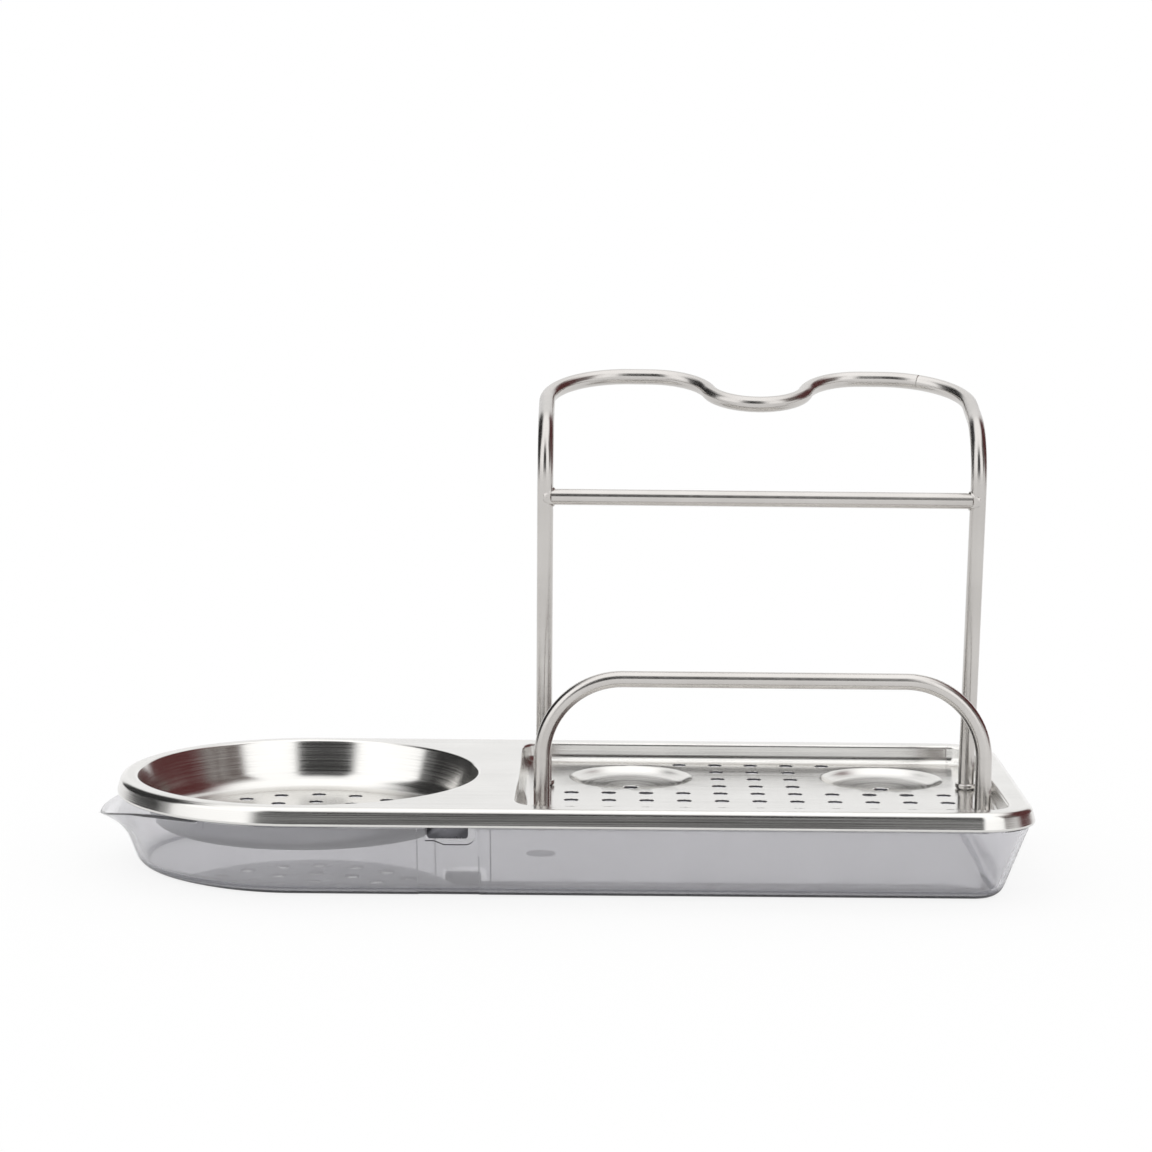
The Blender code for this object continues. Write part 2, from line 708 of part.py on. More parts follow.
def make_window_cutter(side):
    """The stepped outline of a locating window, as a prism through one long wall."""
    left = window_left()
    right = left + WINDOW_WIDTH
    top = TRAY_HEIGHT + OVERSHOOT
    bottom = TRAY_HEIGHT - WINDOW_DEPTH
    step_end = left + WINDOW_STEP_RUN
    shape = [(left, top), (left, bottom + WINDOW_STEP), (step_end, bottom + WINDOW_STEP)]
    shape += [(step_end + WINDOW_SLOPE_RUN, bottom)]
    shape += arc((right - WINDOW_CORNER, bottom + WINDOW_CORNER), WINDOW_CORNER, -90, 0, CORNER_STEPS)
    shape += [(right, top)]
    far = TRAY_END_RADIUS + OVERSHOOT
    near = TRAY_END_RADIUS + wall_offset(bottom) - TRAY_WALL - OVERSHOOT
    bm = bmesh.new()
    face = bm.faces.new([bm.verts.new((x, side * near, z)) for x, z in shape])
    moved = bmesh.ops.extrude_face_region(bm, geom=[face])
    verts = [item for item in moved["geom"] if isinstance(item, bmesh.types.BMVert)]
    bmesh.ops.translate(bm, verts=verts, vec=(0, side * (far - near), 0))
    bmesh.ops.recalc_face_normals(bm, faces=bm.faces)
    return finish_mesh("tray_window", bm)


def make_tray(collection, cutters, material, place):
    """The drip tray: a wall lofted through all its sections, with a floor, two windows and a gate mark."""
    bm = bmesh.new()
    sections = tray_sections()
    rings = []
    for level in range(len(sections[0][3])):
        ring = []
        for centre, radius, direction, profile in sections:
            offset, height = profile[level]
            angle = math.radians(direction)
            x = centre[0] + (radius + offset) * math.cos(angle)
            y = centre[1] + (radius + offset) * math.sin(angle)
            ring.append(bm.verts.new((x, y, height)))
        rings.append(ring)
    skin(bm, rings)
    bm.faces.new(rings[0])
    bm.faces.new(rings[-1])
    bmesh.ops.recalc_face_normals(bm, faces=bm.faces)
    tray = add_object("drip_tray", finish_mesh("drip_tray", bm), collection, material, None, place)

    for name, side in (("front", -1), ("back", 1)):
        window = add_object("tray_window_" + name, make_window_cutter(side), cutters, None, tray)
        # The exact solver loses the whole wall here, and both shapes are closed.
        cut(tray, as_cutter(window), "MANIFOLD")
    gate_mesh = finish_mesh("gate_mark", make_cylinder(GATE_RADIUS, GATE_DEPTH * 2))
    gate = add_object("gate_mark", gate_mesh, cutters, None, tray, (BOWL_X + GATE_TO_BOWL, GATE_Y, 0))
    cut(tray, as_cutter(gate))
    return tray


def main():
    clear_scene()
    parts = make_collection("sink_organizer")
    cutters = make_collection("cutters")
    steel = make_material("brushed_steel", (0.66, 0.65, 0.63), 0.28, 1.0)
    wire = make_material("polished_steel_wire", (0.70, 0.69, 0.67), 0.20, 1.0)
    smoke = make_material("smoky_plastic", (0.60, 0.60, 0.63), 0.08, 0.0, 0.85)

    spout_reach = TRAY_END_RADIUS + max(offset for offset, _ in spout_section(0)) - PAN_WIDTH / 2
    middle = spout_reach / 2
    make_tray(parts, cutters, smoke, (middle, 0, 0))
    rack = add_object("rack", None, parts, location=(middle, 0, PAN_TOP))
    make_pan(parts, steel, rack)
    make_tabs(parts, steel, rack)
    make_rear_hoop(parts, wire, rack)
    make_cross_bar(parts, cutters, wire, rack)
    make_front_hoop(parts, wire, rack)
    make_collars(parts, wire, rack)
    make_nuts(parts, cutters, steel, rack)


main()
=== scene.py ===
# %% [markdown]
# # A sink organizer
# This lesson dresses a sink organizer: a pressed steel pan with a soap bowl and a brush rack of bent wire,
# on a smoky plastic drip tray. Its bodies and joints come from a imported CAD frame. The steel is what the
# eye goes to, and polished steel shows every facet, so the pan, the wires and the tray are modelled again
# here with finer curves, each in the place of its CAD node.

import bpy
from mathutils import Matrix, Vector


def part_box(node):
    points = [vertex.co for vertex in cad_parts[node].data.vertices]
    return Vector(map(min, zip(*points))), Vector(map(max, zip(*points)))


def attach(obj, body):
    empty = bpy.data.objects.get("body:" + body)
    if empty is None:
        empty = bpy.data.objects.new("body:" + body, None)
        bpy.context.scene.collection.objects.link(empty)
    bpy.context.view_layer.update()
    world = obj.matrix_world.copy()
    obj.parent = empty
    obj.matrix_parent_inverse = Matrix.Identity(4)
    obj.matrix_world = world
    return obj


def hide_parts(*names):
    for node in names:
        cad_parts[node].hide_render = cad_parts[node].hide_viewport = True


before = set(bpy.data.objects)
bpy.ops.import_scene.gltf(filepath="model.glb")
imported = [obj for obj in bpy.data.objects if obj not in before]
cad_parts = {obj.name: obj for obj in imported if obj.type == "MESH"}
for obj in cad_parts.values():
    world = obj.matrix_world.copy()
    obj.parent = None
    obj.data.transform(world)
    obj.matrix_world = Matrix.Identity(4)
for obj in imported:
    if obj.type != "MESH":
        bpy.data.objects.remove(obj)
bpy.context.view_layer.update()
print("nodes:", ", ".join(sorted(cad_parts)))

# %% Modules and the object's main places
import math

import bmesh
import bpy
from bmesh.types import BMEdge, BMVert
from mathutils import Matrix, Vector

pan_low, pan_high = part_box("top_pan")
PAN_LEFT, PAN_RIGHT, HALF_WIDTH, PAN_TOP = pan_low.x, pan_high.x, pan_high.y, pan_high.z
BOWL_X = PAN_LEFT + HALF_WIDTH
TRAY_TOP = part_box("drip_tray")[1].z
print("pan from", round(PAN_LEFT, 4), "to", round(PAN_RIGHT, 4), "top at", round(PAN_TOP, 4))

# %% [markdown]
# ## Camera
# The photograph was taken from the front and a little above, with a long lens, and the object sits right of
# the middle and low in a tall frame. The lens, the turn and the small shift were worked out from the
# spacing of the drain holes. They come first, because every later step is judged through this camera.

# %% Camera
SENSOR, LENS = 36.0, 95.85
SHIFT = (-0.0556, 0.1597)
CAMERA_PLACE = (0.010, -1.0252, 0.2314)
YAW, PITCH, ROLL = (math.radians(degrees) for degrees in (0.979, 10.806, 0.697))


def put_in_scene(name, data):
    """An object for a mesh or a camera, linked to the scene."""
    thing = bpy.data.objects.new(name, data)
    bpy.context.scene.collection.objects.link(thing)
    return thing


camera_data = bpy.data.cameras.new("camera")
camera_data.sensor_width = SENSOR
camera_data.lens = LENS
camera_data.shift_x, camera_data.shift_y = SHIFT
camera_data.clip_end = 20.0
camera = put_in_scene("camera", camera_data)

ahead = Vector((math.sin(YAW) * math.cos(PITCH), math.cos(YAW) * math.cos(PITCH), -math.sin(PITCH)))
level = Vector((math.cos(YAW), -math.sin(YAW), 0))
over = level.cross(ahead)
right = level * math.cos(ROLL) + over * math.sin(ROLL)
up = over * math.cos(ROLL) - level * math.sin(ROLL)
turn = Matrix((right, up, -ahead)).transposed().to_4x4()
camera.matrix_world = Matrix.Translation(CAMERA_PLACE) @ turn
bpy.context.scene.camera = camera
print("camera", [round(value, 3) for value in camera.location])

# %% [markdown]
# ## Finishes
# The steel has four finishes. The pan's sheet is satin, brushed along its edges and round its bowl, and the
# wires are polished round their section, as a belt leaves them. Undersides and nuts are raw, with a darker
# tint that paints the shade under the pan. The cut edges are dark as painted shade, and the tabs are dark
# too. A streak is stretched noise that changes the roughness a little, so it is a node group that every
# steel places with its own values. Polished pieces get a UV map named grain, whose first number runs along
# the brushing. Brushed steel smears a reflection across its brushing and keeps it sharp along it, so the
# same map also turns the anisotropic highlight.

# %% Node helpers
def set_inputs(node, values):
    """Give a node's inputs their values, by name or number."""
    for name, value in values.items():
        node.inputs[name].default_value = value


def add_node(nodes, kind, inputs=None, **settings):
    """A node of a kind, its name without ShaderNode, with its settings and the values of its inputs."""
    node = nodes.new("ShaderNode" + kind)
    for name, value in settings.items():
        setattr(node, name, value)
    set_inputs(node, inputs or {})
    return node


def add_group(nodes, group, **inputs):
    """A group placed in a material, with its own values."""
    return add_node(nodes, "Group", inputs, node_tree=group)


def linker(tree):
    """A function that links a node's output to another node's input, both by name or number."""
    def link(source, output, target, taken):
        tree.links.new(source.outputs[output], target.inputs[taken])
    return link


def start_group(name, takes, gives):
    """A shader group: takes has its inputs' starting values, or None for a place; gives names its outputs."""
    group = bpy.data.node_groups.new(name, "ShaderNodeTree")
    for taken, value in takes.items():
        kind = "NodeSocketVector" if value is None else "NodeSocketFloat"
        socket = group.interface.new_socket(name=taken, in_out="INPUT", socket_type=kind)
        if value is not None:
            socket.default_value = value
    for given in gives:
        group.interface.new_socket(name=given, in_out="OUTPUT", socket_type="NodeSocketFloat")
    nodes = group.nodes
    return group, nodes, linker(group), nodes.new("NodeGroupInput"), nodes.new("NodeGroupOutput")


def start_material(name):
    """A material, its nodes, its linker and its Principled shader."""
    material = bpy.data.materials.new(name)
    material.use_nodes = True
    nodes = material.node_tree.nodes
    return material, nodes, linker(material.node_tree), nodes["Principled BSDF"]


# %% Streak group
def make_streaks():
    """Noise stretched by a scale along and across the grain, as a roughness and a height."""
    takes = {"Place": None, "Coarseness": None, "Smoothest": 0.1, "Roughest": 0.3}
    group, nodes, link, taken, given = start_group("streaks", takes, ("Roughness", "Height"))
    stretch = add_node(nodes, "VectorMath", operation="MULTIPLY")
    noise = add_node(nodes, "TexNoise", {"Scale": 1.0, "Detail": 4.0, "Roughness": 0.6})
    spread = add_node(nodes, "MapRange", {"From Min": 0.3, "From Max": 0.7})
    link(taken, "Place", stretch, 0)
    link(taken, "Coarseness", stretch, 1)
    link(stretch, "Vector", noise, "Vector")
    link(noise, "Fac", spread, "Value")
    link(taken, "Smoothest", spread, "To Min")
    link(taken, "Roughest", spread, "To Max")
    link(spread, "Result", given, "Roughness")
    link(noise, "Fac", given, "Height")
    return group


streaks = make_streaks()
print("group:", streaks.name)

# %% [markdown]
# Dust, fingermarks and the uneven polish of a real surface change its shine softly over a few centimetres.
# A second group gives that as a mask, for the steel and the plastic alike.

# %% Cloudiness group
def make_clouds():
    """A soft mask between 0 and 1 that changes over a few centimetres."""
    group, nodes, link, taken, given = start_group("clouds", {"Size": 30.0}, ("Mask",))
    place = add_node(nodes, "TexCoord")
    noise = add_node(nodes, "TexNoise", {"Detail": 2.0})
    spread = add_node(nodes, "MapRange", {"From Min": 0.35, "From Max": 0.65})
    link(place, "Object", noise, "Vector")
    link(taken, "Size", noise, "Scale")
    link(noise, "Fac", spread, "Value")
    link(spread, "Result", given, "Mask")
    return group


clouds = make_clouds()
print("group:", clouds.name)

# %% Steel
STEEL_CLOUDS = 40.0
BUMP_HEIGHT = 0.0001
ACROSS_GRAIN = 0.25


def make_steel(name, tint, shade, coarseness, shine, bump, smear=0.0):
    """A metal with streaks and a cloudy tint. With a smear, streaks and highlights follow the grain."""
    material, nodes, link, shader = start_material(name)
    set_inputs(shader, {"Metallic": 1.0})
    grain = add_group(nodes, streaks, Coarseness=coarseness, Smoothest=shine[0], Roughest=shine[1])
    if smear:
        set_inputs(shader, {"Anisotropic": smear, "Anisotropic Rotation": ACROSS_GRAIN})
        place = add_node(nodes, "UVMap", uv_map="grain")
        along = add_node(nodes, "Tangent", direction_type="UV_MAP", uv_map="grain")
        link(place, "UV", grain, "Place")
        link(along, "Tangent", shader, "Tangent")
    else:
        link(add_node(nodes, "TexCoord"), "Object", grain, "Place")
    cloud = add_group(nodes, clouds, Size=STEEL_CLOUDS)
    colour = add_node(nodes, "Mix", {"A": (*tint, 1), "B": (*shade, 1)}, data_type="RGBA")
    height = add_node(nodes, "Bump", {"Strength": bump, "Distance": BUMP_HEIGHT})
    link(cloud, "Mask", colour, "Factor")
    link(colour, "Result", shader, "Base Color")
    link(grain, "Roughness", shader, "Roughness")
    link(grain, "Height", height, "Height")
    link(height, "Normal", shader, "Normal")
    return material


sheet_steel = make_steel(
    "satin_steel", (0.73, 0.72, 0.70), (0.69, 0.68, 0.66), (9, 1300, 1),
    shine=(0.12, 0.25), bump=0.16, smear=0.7,
)
wire_steel = make_steel(
    "drawn_wire", (0.59, 0.57, 0.55), (0.54, 0.52, 0.50), (120, 400, 1),
    shine=(0.17, 0.21), bump=0.01, smear=0.85,
)
# Raw steel for undersides and nuts; its darker tint is painted shade.
raw_shaded_steel = make_steel(
    "raw_shaded_steel", (0.42, 0.42, 0.43), (0.34, 0.34, 0.36), (90, 90, 90), shine=(0.28, 0.40), bump=0.05
)
# Dark steel for the cut edges, where its darkness is painted shade, and for the tabs.
dark_steel = make_steel(
    "dark_steel", (0.20, 0.20, 0.22), (0.15, 0.15, 0.16), (300, 300, 300), shine=(0.25, 0.38), bump=0.05
)
print("steels:", sheet_steel.name, wire_steel.name, raw_shaded_steel.name, dark_steel.name)

# %% [markdown]
# The drip tray is a clear plastic with a smoky grey in it. Clear plastic is a Principled shader with its
# transmission on. Its base colour has only a little of the grey, because real smoky plastic darkens with
# its depth: a wall looks light, and the floor seen along its edge looks nearly black. A volume that absorbs
# light does that. A group also paints shade into the base colour where the wall turns into the floor, the
# dark line along the tray's foot, from the height of a point and from how steep the surface is.

# %% Painted shade at the tray's foot
FOOT_DARKEST, FOOT_DARK, FOOT_TOP = 0.0014, 0.0019, 0.0050
LEVEL, STEEP = 0.99, 0.94
TURN_SHARE = 0.5


def make_foot_shade():
    """Painted shade at the wall's foot: 0 in the wall, the turn's share above the floor, and 1 at the foot.
    """
    takes = {"Darkest": FOOT_DARKEST, "Dark": FOOT_DARK, "Top": FOOT_TOP}
    group, nodes, link, taken, given = start_group("foot_shade", takes, ("Mask",))
    place = add_node(nodes, "TexCoord")
    spot = add_node(nodes, "SeparateXYZ")
    facing = add_node(nodes, "SeparateXYZ")
    flatness = add_node(nodes, "Math", operation="ABSOLUTE")
    steep = add_node(nodes, "MapRange", {"From Min": LEVEL, "From Max": STEEP})
    foot = add_node(nodes, "MapRange")
    band = add_node(nodes, "MapRange", {"To Max": TURN_SHARE})
    most = add_node(nodes, "Math", operation="MAXIMUM")
    mask = add_node(nodes, "Math", operation="MULTIPLY")
    link(place, "Object", spot, "Vector")
    link(place, "Normal", facing, "Vector")
    link(facing, "Z", flatness, 0)
    link(flatness, "Value", steep, "Value")
    for ranged, high, low in ((foot, "Dark", "Darkest"), (band, "Top", "Dark")):
        link(spot, "Z", ranged, "Value")
        link(taken, high, ranged, "From Min")
        link(taken, low, ranged, "From Max")
    link(foot, "Result", most, 0)
    link(band, "Result", most, 1)
    link(most, "Value", mask, 0)
    link(steep, "Result", mask, 1)
    link(mask, "Value", given, "Mask")
    return group


foot_shade = make_foot_shade()
print("group:", foot_shade.name)

# %% Smoky plastic
CLEARNESS = 0.92
PLASTIC_CLOUDS = 60.0
# Painted shade: the colour that the tray's foot darkens towards.
FOOT_SHADE_TINT = (0.20, 0.20, 0.23, 1)
SMOKE_TINT = (0.0, 0.0, 0.10, 1)


def make_plastic(name, tint, shade, shine, smoke=0.0):
    """Clear plastic whose tint and shine cloud a little; smoke is how much light a metre of it takes away."""
    material, nodes, link, shader = start_material(name)
    set_inputs(shader, {"IOR": 1.5, "Transmission Weight": CLEARNESS})
    cloud = add_group(nodes, clouds, Size=PLASTIC_CLOUDS)
    roughness = add_node(nodes, "MapRange", {"To Min": shine[0], "To Max": shine[1]})
    colour = add_node(nodes, "Mix", {"A": (*tint, 1), "B": (*shade, 1)}, data_type="RGBA")
    # Painted shade at the wall's foot, mixed into the base colour.
    shade_at_foot = add_group(nodes, foot_shade)
    darkened = add_node(nodes, "Mix", {"B": FOOT_SHADE_TINT}, data_type="RGBA")
    link(cloud, "Mask", roughness, "Value")
    link(cloud, "Mask", colour, "Factor")
    link(roughness, "Result", shader, "Roughness")
    link(shade_at_foot, "Mask", darkened, "Factor")
    link(colour, "Result", darkened, "A")
    link(darkened, "Result", shader, "Base Color")
    if smoke:
        inside = add_node(nodes, "VolumeAbsorption", {"Color": SMOKE_TINT, "Density": smoke})
        link(inside, "Volume", nodes["Material Output"], "Volume")
    return material


plastic = make_plastic("smoky_plastic", (0.94, 0.935, 0.95), (0.925, 0.92, 0.935), (0.02, 0.05), smoke=31)
# The moulding mark's dark tint is painted shade; its rougher shine is the mark's own.
gate_shade_plastic = make_plastic("gate_shade_plastic", (0.16, 0.16, 0.18), (0.12, 0.12, 0.14), (0.35, 0.50))
print("plastics:", plastic.name, gate_shade_plastic.name)

# %% [markdown]
# ## Keeping a piece
# Every piece ends the same way: its mesh is shaded smooth but for its sharp edges, it gets its finish, and
# it rides on the body that it moves with. The tray is one body and the rack that lifts off it is the other.

# %% Helpers for finished pieces
SHARP = math.radians(35)
FULL_TURN = 2 * math.pi


def mesh_from(name, bm):
    """A mesh made from a bmesh, which isn't needed after that."""
    mesh = bpy.data.meshes.new(name)
    bm.to_mesh(mesh)
    bm.free()
    return mesh


def keep(name, bm, material, body, slot, *nodes):
    """Turn a bmesh into a named piece that stands for CAD nodes."""
    mesh = mesh_from(name, bm)
    mesh.shade_smooth()
    mesh.set_sharp_from_angle(angle=SHARP)
    mesh.materials.append(material)
    piece = put_in_scene(name, mesh)
    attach(piece, body)
    if nodes:
        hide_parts(*nodes)
    print(f"{name}: {len(mesh.polygons)} faces")
    return piece


def add_modifier(piece, name, kind, **settings):
    """A modifier with its settings."""
    modifier = piece.modifiers.new(name, kind)
    for setting, value in settings.items():
        setattr(modifier, setting, value)


# %% Helpers for shapes
def made_of(geometry, kind):
    """The vertices or the edges among what an operator made."""
    return [item for item in geometry if isinstance(item, kind)]


def edges_among(verts, edges):
    """The edges that have both ends in a set of vertices."""
    inside = set(verts)
    return [edge for edge in edges if edge.verts[0] in inside and edge.verts[1] in inside]


def arc(centre, radius, start, end, steps):
    """Points along an arc in a plane, both ends included, angles in degrees."""
    angles = [math.radians(start + (end - start) * step / steps) for step in range(steps + 1)]
    return [(centre[0] + radius * math.cos(angle), centre[1] + radius * math.sin(angle)) for angle in angles]


def chain(bm, points):
    """An open line of edges through points."""
    line = [bm.verts.new(point) for point in points]
    return line, [bm.edges.new(pair) for pair in zip(line, line[1:])]


def spin_profile(bm, profile, middle, steps):
    """Turn a profile of (radius, height) round an upright axis."""
    line, edges = chain(bm, [(middle[0] + radius, middle[1], height) for radius, height in profile])
    bmesh.ops.spin(
        bm, geom=line + edges, cent=(*middle, 0), axis=(0, 0, 1), angle=FULL_TURN, steps=steps, use_merge=True
    )


def face_out(bm):
    """Turn all faces outward."""
    bmesh.ops.recalc_face_normals(bm, faces=bm.faces)


def join_into(whole, part):
    """Add one bmesh's shape to another."""
    mesh = mesh_from("joined", part)
    whole.from_mesh(mesh)
    bpy.data.meshes.remove(mesh)


# %% [markdown]
# The grain map gives each corner of each face a place along the brushing and a place across it, in metres.
# Round a spun shape, along is the angle times a radius. It is measured both ways from the front, so that it
# has no jump on the seam.

# %% Grain of round shapes
def set_grain(bm, grain_at, faces=None):
    """Give face corners their place in the grain, from a function of their point."""
    layer = bm.loops.layers.uv.get("grain") or bm.loops.layers.uv.new("grain")
    for face in faces or bm.faces:
        for loop in face.loops:
            loop[layer].uv = grain_at(loop.vert.co)


def round_grain(centre, radius):
    """Grain that runs round an upright axis."""
    def grain_at(point):
        x, y = point.x - centre[0], point.y - centre[1]
        return radius * math.atan2(abs(x), -y), math.hypot(x, y) + point.z
    return grain_at


# %% [markdown]
# Rim, recess and tray all follow a plan outline with rounded corners. Bevelling the corner points of a
# rectangle makes that outline. A sweep then extrudes it through a profile and moves each point outward or
# inward, so that one helper shapes all three, and no point of theirs is worked out twice.

# %% Outline and sweep
MERGE, SNAP, SAME_LEVEL = 0.00005, 0.00001, 0.000005


def rounded_outline(bm, left, right, half, radii, steps, cuts=()):
    """A rounded rectangle as a loop of edges at height 0, with extra points where the cuts cross it."""
    places = ((left, -half), (right, -half), (right, half), (left, half))
    corners = [bm.verts.new((x, y, 0)) for x, y in places]
    face = bm.faces.new(corners)
    for pair, radius in (((corners[0], corners[3]), radii[0]), ((corners[1], corners[2]), radii[1])):
        bmesh.ops.bevel(
            bm, geom=list(pair), affect="VERTICES", offset=radius, offset_type="OFFSET", segments=steps,
            profile=0.5, material=-1, clamp_overlap=False,
        )
    bmesh.ops.delete(bm, geom=list(bm.faces), context="FACES_ONLY")
    bmesh.ops.remove_doubles(bm, verts=list(bm.verts), dist=MERGE)
    for x in cuts:
        geometry = list(bm.verts) + list(bm.edges)
        bmesh.ops.bisect_plane(bm, geom=geometry, plane_co=(x, 0, 0), plane_no=(1, 0, 0), dist=SNAP)


def outward(x, y, left, right, half, radii):
    """The direction away from a rounded rectangle at a point on its outline."""
    if x < left + radii[0]:
        centre_x, reach = left + radii[0], half - radii[0]
    elif x > right - radii[1]:
        centre_x, reach = right - radii[1], half - radii[1]
    else:
        return Vector((0, math.copysign(1, y), 0))
    return Vector((x - centre_x, y - min(max(y, -reach), reach), 0)).normalized()


def plan_grain(plan, fall):
    """Grain that runs along a rounded rectangle; fall says whether its wall goes down outwards or inwards."""
    left, right, half, radii = plan

    def grain_at(point):
        y = abs(point.y)
        if point.x < left + radii[0]:
            sign, radius, start = -1, radii[0], left + radii[0]
        elif point.x > right - radii[1]:
            sign, radius, start = 1, radii[1], right - radii[1]
        else:
            return point.x, y - half + fall * point.z
        past, side = abs(point.x - start), y - (half - radius)
        turn = math.atan2(past, max(side, 0))
        out = math.hypot(past, max(side, 0)) - radius
        return start + sign * (radius * turn + max(-side, 0)), out + fall * point.z
    return grain_at


def sweep(plan, profile_at, steps, cuts=()):
    """Extrude a rounded outline through the profile of (outward, height) that each of its points is given."""
    bm = bmesh.new()
    rounded_outline(bm, *plan, steps, cuts)
    number = bm.verts.layers.int.new("number")
    base = []
    for index, vert in enumerate(bm.verts):
        vert[number] = index
        direction = outward(vert.co.x, vert.co.y, *plan)
        base.append((vert.co.copy(), direction, profile_at(vert.co)))
    ring, verts = list(bm.edges), list(bm.verts)
    for level in range(len(base[0][2])):
        if level:
            made = bmesh.ops.extrude_edge_only(bm, edges=ring)
            verts = made_of(made["geom"], BMVert)
            ring = edges_among(verts, made_of(made["geom"], BMEdge))
        for vert in verts:
            point, direction, profile = base[vert[number]]
            offset, height = profile[level]
            vert.co = point + direction * offset + Vector((0, 0, height))
    return bm


def flat_fill(bm, height, near=None, reach=0):
    """Fill the flat part between all open outlines at one height, or only those within reach of a place."""
    edges = []
    for edge in bm.edges:
        level = all(abs(vert.co.z - height) < SAME_LEVEL for vert in edge.verts)
        inside = near is None or math.dist(edge.verts[0].co.xy, near) < reach
        if level and inside and len(edge.link_faces) < 2:
            edges.append(edge)
    bmesh.ops.triangle_fill(bm, use_beauty=True, use_dissolve=False, edges=edges)


# %% [markdown]
# ## The pan
# The real pan is one sheet of steel, pressed in a die: a turned-down rim, a round bowl and a
# square-cornered recess, all with soft bends. It could be cut out of a block, but a sheet is easier to
# press here too. The rim and the recess are swept round their outlines, the bowl and the cups are spun,
# flat parts are filled between the outlines, and Solidify gives the sheet its thickness at the end.

# %% Sizes of the pan
SHEET = 0.0008
RIM_RADIUS = 0.0026
RIM_DEPTH = 0.0063
RIM_LEAN = 16
RIM_CURL = 0.0010
RIM_CURL_END = -40
PAN_CORNER = 0.0200
BOWL_MOUTH = 0.0585
BOWL_LIP = 0.0012
BOWL_DEPTH = 0.0161
BOWL_LEAN = 20
BOWL_FILLET = 0.0080
RECESS_DEPTH = 0.0066
RECESS_LIP = 0.0012
RECESS_FILLET = 0.0032
RECESS_LEAN = 8
RECESS_CORNER = 0.0100
WEB, END_BORDER, SIDE_BORDER = 0.0121, 0.0084, 0.0073
LEFT_MARGIN, RIGHT_MARGIN = 0.0091, 0.0076
ARC_GAP = 0.00002
RECESS_LEFT = BOWL_X + BOWL_MOUTH + WEB
RECESS_RIGHT = PAN_RIGHT - END_BORDER
RECESS_HALF = HALF_WIDTH - SIDE_BORDER
FLOOR = PAN_TOP - RECESS_DEPTH
BOWL_LEVEL = PAN_TOP - BOWL_DEPTH
LEG_LEFT = RECESS_LEFT + LEFT_MARGIN
LEG_RIGHT = RECESS_RIGHT - RIGHT_MARGIN
RACK_X = (LEG_LEFT + LEG_RIGHT) / 2
FRONT_LEG_Y = -0.0340
REAR_LEG_Y = 0.0115
print("recess floor at", round(FLOOR, 4), "legs at", round(LEG_LEFT, 4), round(LEG_RIGHT, 4))

# %% Rim and recess
PAN_PLAN = (PAN_LEFT, PAN_RIGHT, HALF_WIDTH, (HALF_WIDTH - ARC_GAP, PAN_CORNER))
RECESS_PLAN = (RECESS_LEFT, RECESS_RIGHT, RECESS_HALF, (RECESS_CORNER, RECESS_CORNER))


def pan_rim():
    """The turned-down rim, from its lower edge up to the flat top."""
    lean = math.radians(RIM_LEAN)
    foot = PAN_TOP - RIM_DEPTH
    rise = RIM_DEPTH - RIM_RADIUS * (1 - math.sin(lean)) - RIM_CURL * (1 + math.sin(lean))
    middle = RIM_CURL * (math.cos(lean) - 1) - rise * math.tan(lean) - RIM_RADIUS * math.cos(lean)
    profile = arc((-RIM_CURL, foot + RIM_CURL), RIM_CURL, RIM_CURL_END, RIM_LEAN, 6)
    profile += arc((middle, PAN_TOP - RIM_RADIUS), RIM_RADIUS, RIM_LEAN, 90, 10)
    rim = sweep(PAN_PLAN, lambda point: profile, steps=44)
    set_grain(rim, plan_grain(PAN_PLAN, -1))
    return rim


def pressed_wall(edge, lip, lean, fillet, level, lip_steps, fillet_steps):
    """A pressed wall's section: over its lip, down its leaning side and round onto its floor."""
    bend = arc((edge, PAN_TOP - lip), lip, 90, 180 - lean, lip_steps)
    slope = math.radians(lean)
    fall = bend[-1][1] - level - fillet * (1 - math.sin(slope))
    middle = bend[-1][0] - fall * math.tan(slope) - fillet * math.cos(slope)
    return bend + arc((middle, level + fillet), fillet, -lean, -90, fillet_steps)


def pan_recess():
    """The recess wall, from its lip at the flat top down to the recess floor."""
    profile = pressed_wall(0, RECESS_LIP, RECESS_LEAN, RECESS_FILLET, FLOOR, lip_steps=7, fillet_steps=8)
    recess = sweep(RECESS_PLAN, lambda point: profile, steps=14)
    set_grain(recess, plan_grain(RECESS_PLAN, 1))
    return recess


def pan_bowl():
    """The bowl, from its lip down to the outline of its floor."""
    bm = bmesh.new()
    profile = pressed_wall(
        BOWL_MOUTH, BOWL_LIP, BOWL_LEAN, BOWL_FILLET, BOWL_LEVEL, lip_steps=9, fillet_steps=14
    )
    spin_profile(bm, profile, (BOWL_X, 0), steps=144)
    set_grain(bm, round_grain((BOWL_X, 0), BOWL_MOUTH))
    return bm


pan = bmesh.new()
for part in (pan_rim(), pan_recess(), pan_bowl()):
    join_into(pan, part)
print("pan walls:", len(pan.faces), "faces")

# %% [markdown]
# The drain holes follow half-inch spacings: a square grid between and in front of the two cups, and rings
# of 6, 12 and 18 in the bowl. Each hole starts as a circle, and its edge is drawn down a little, as a punch
# does.

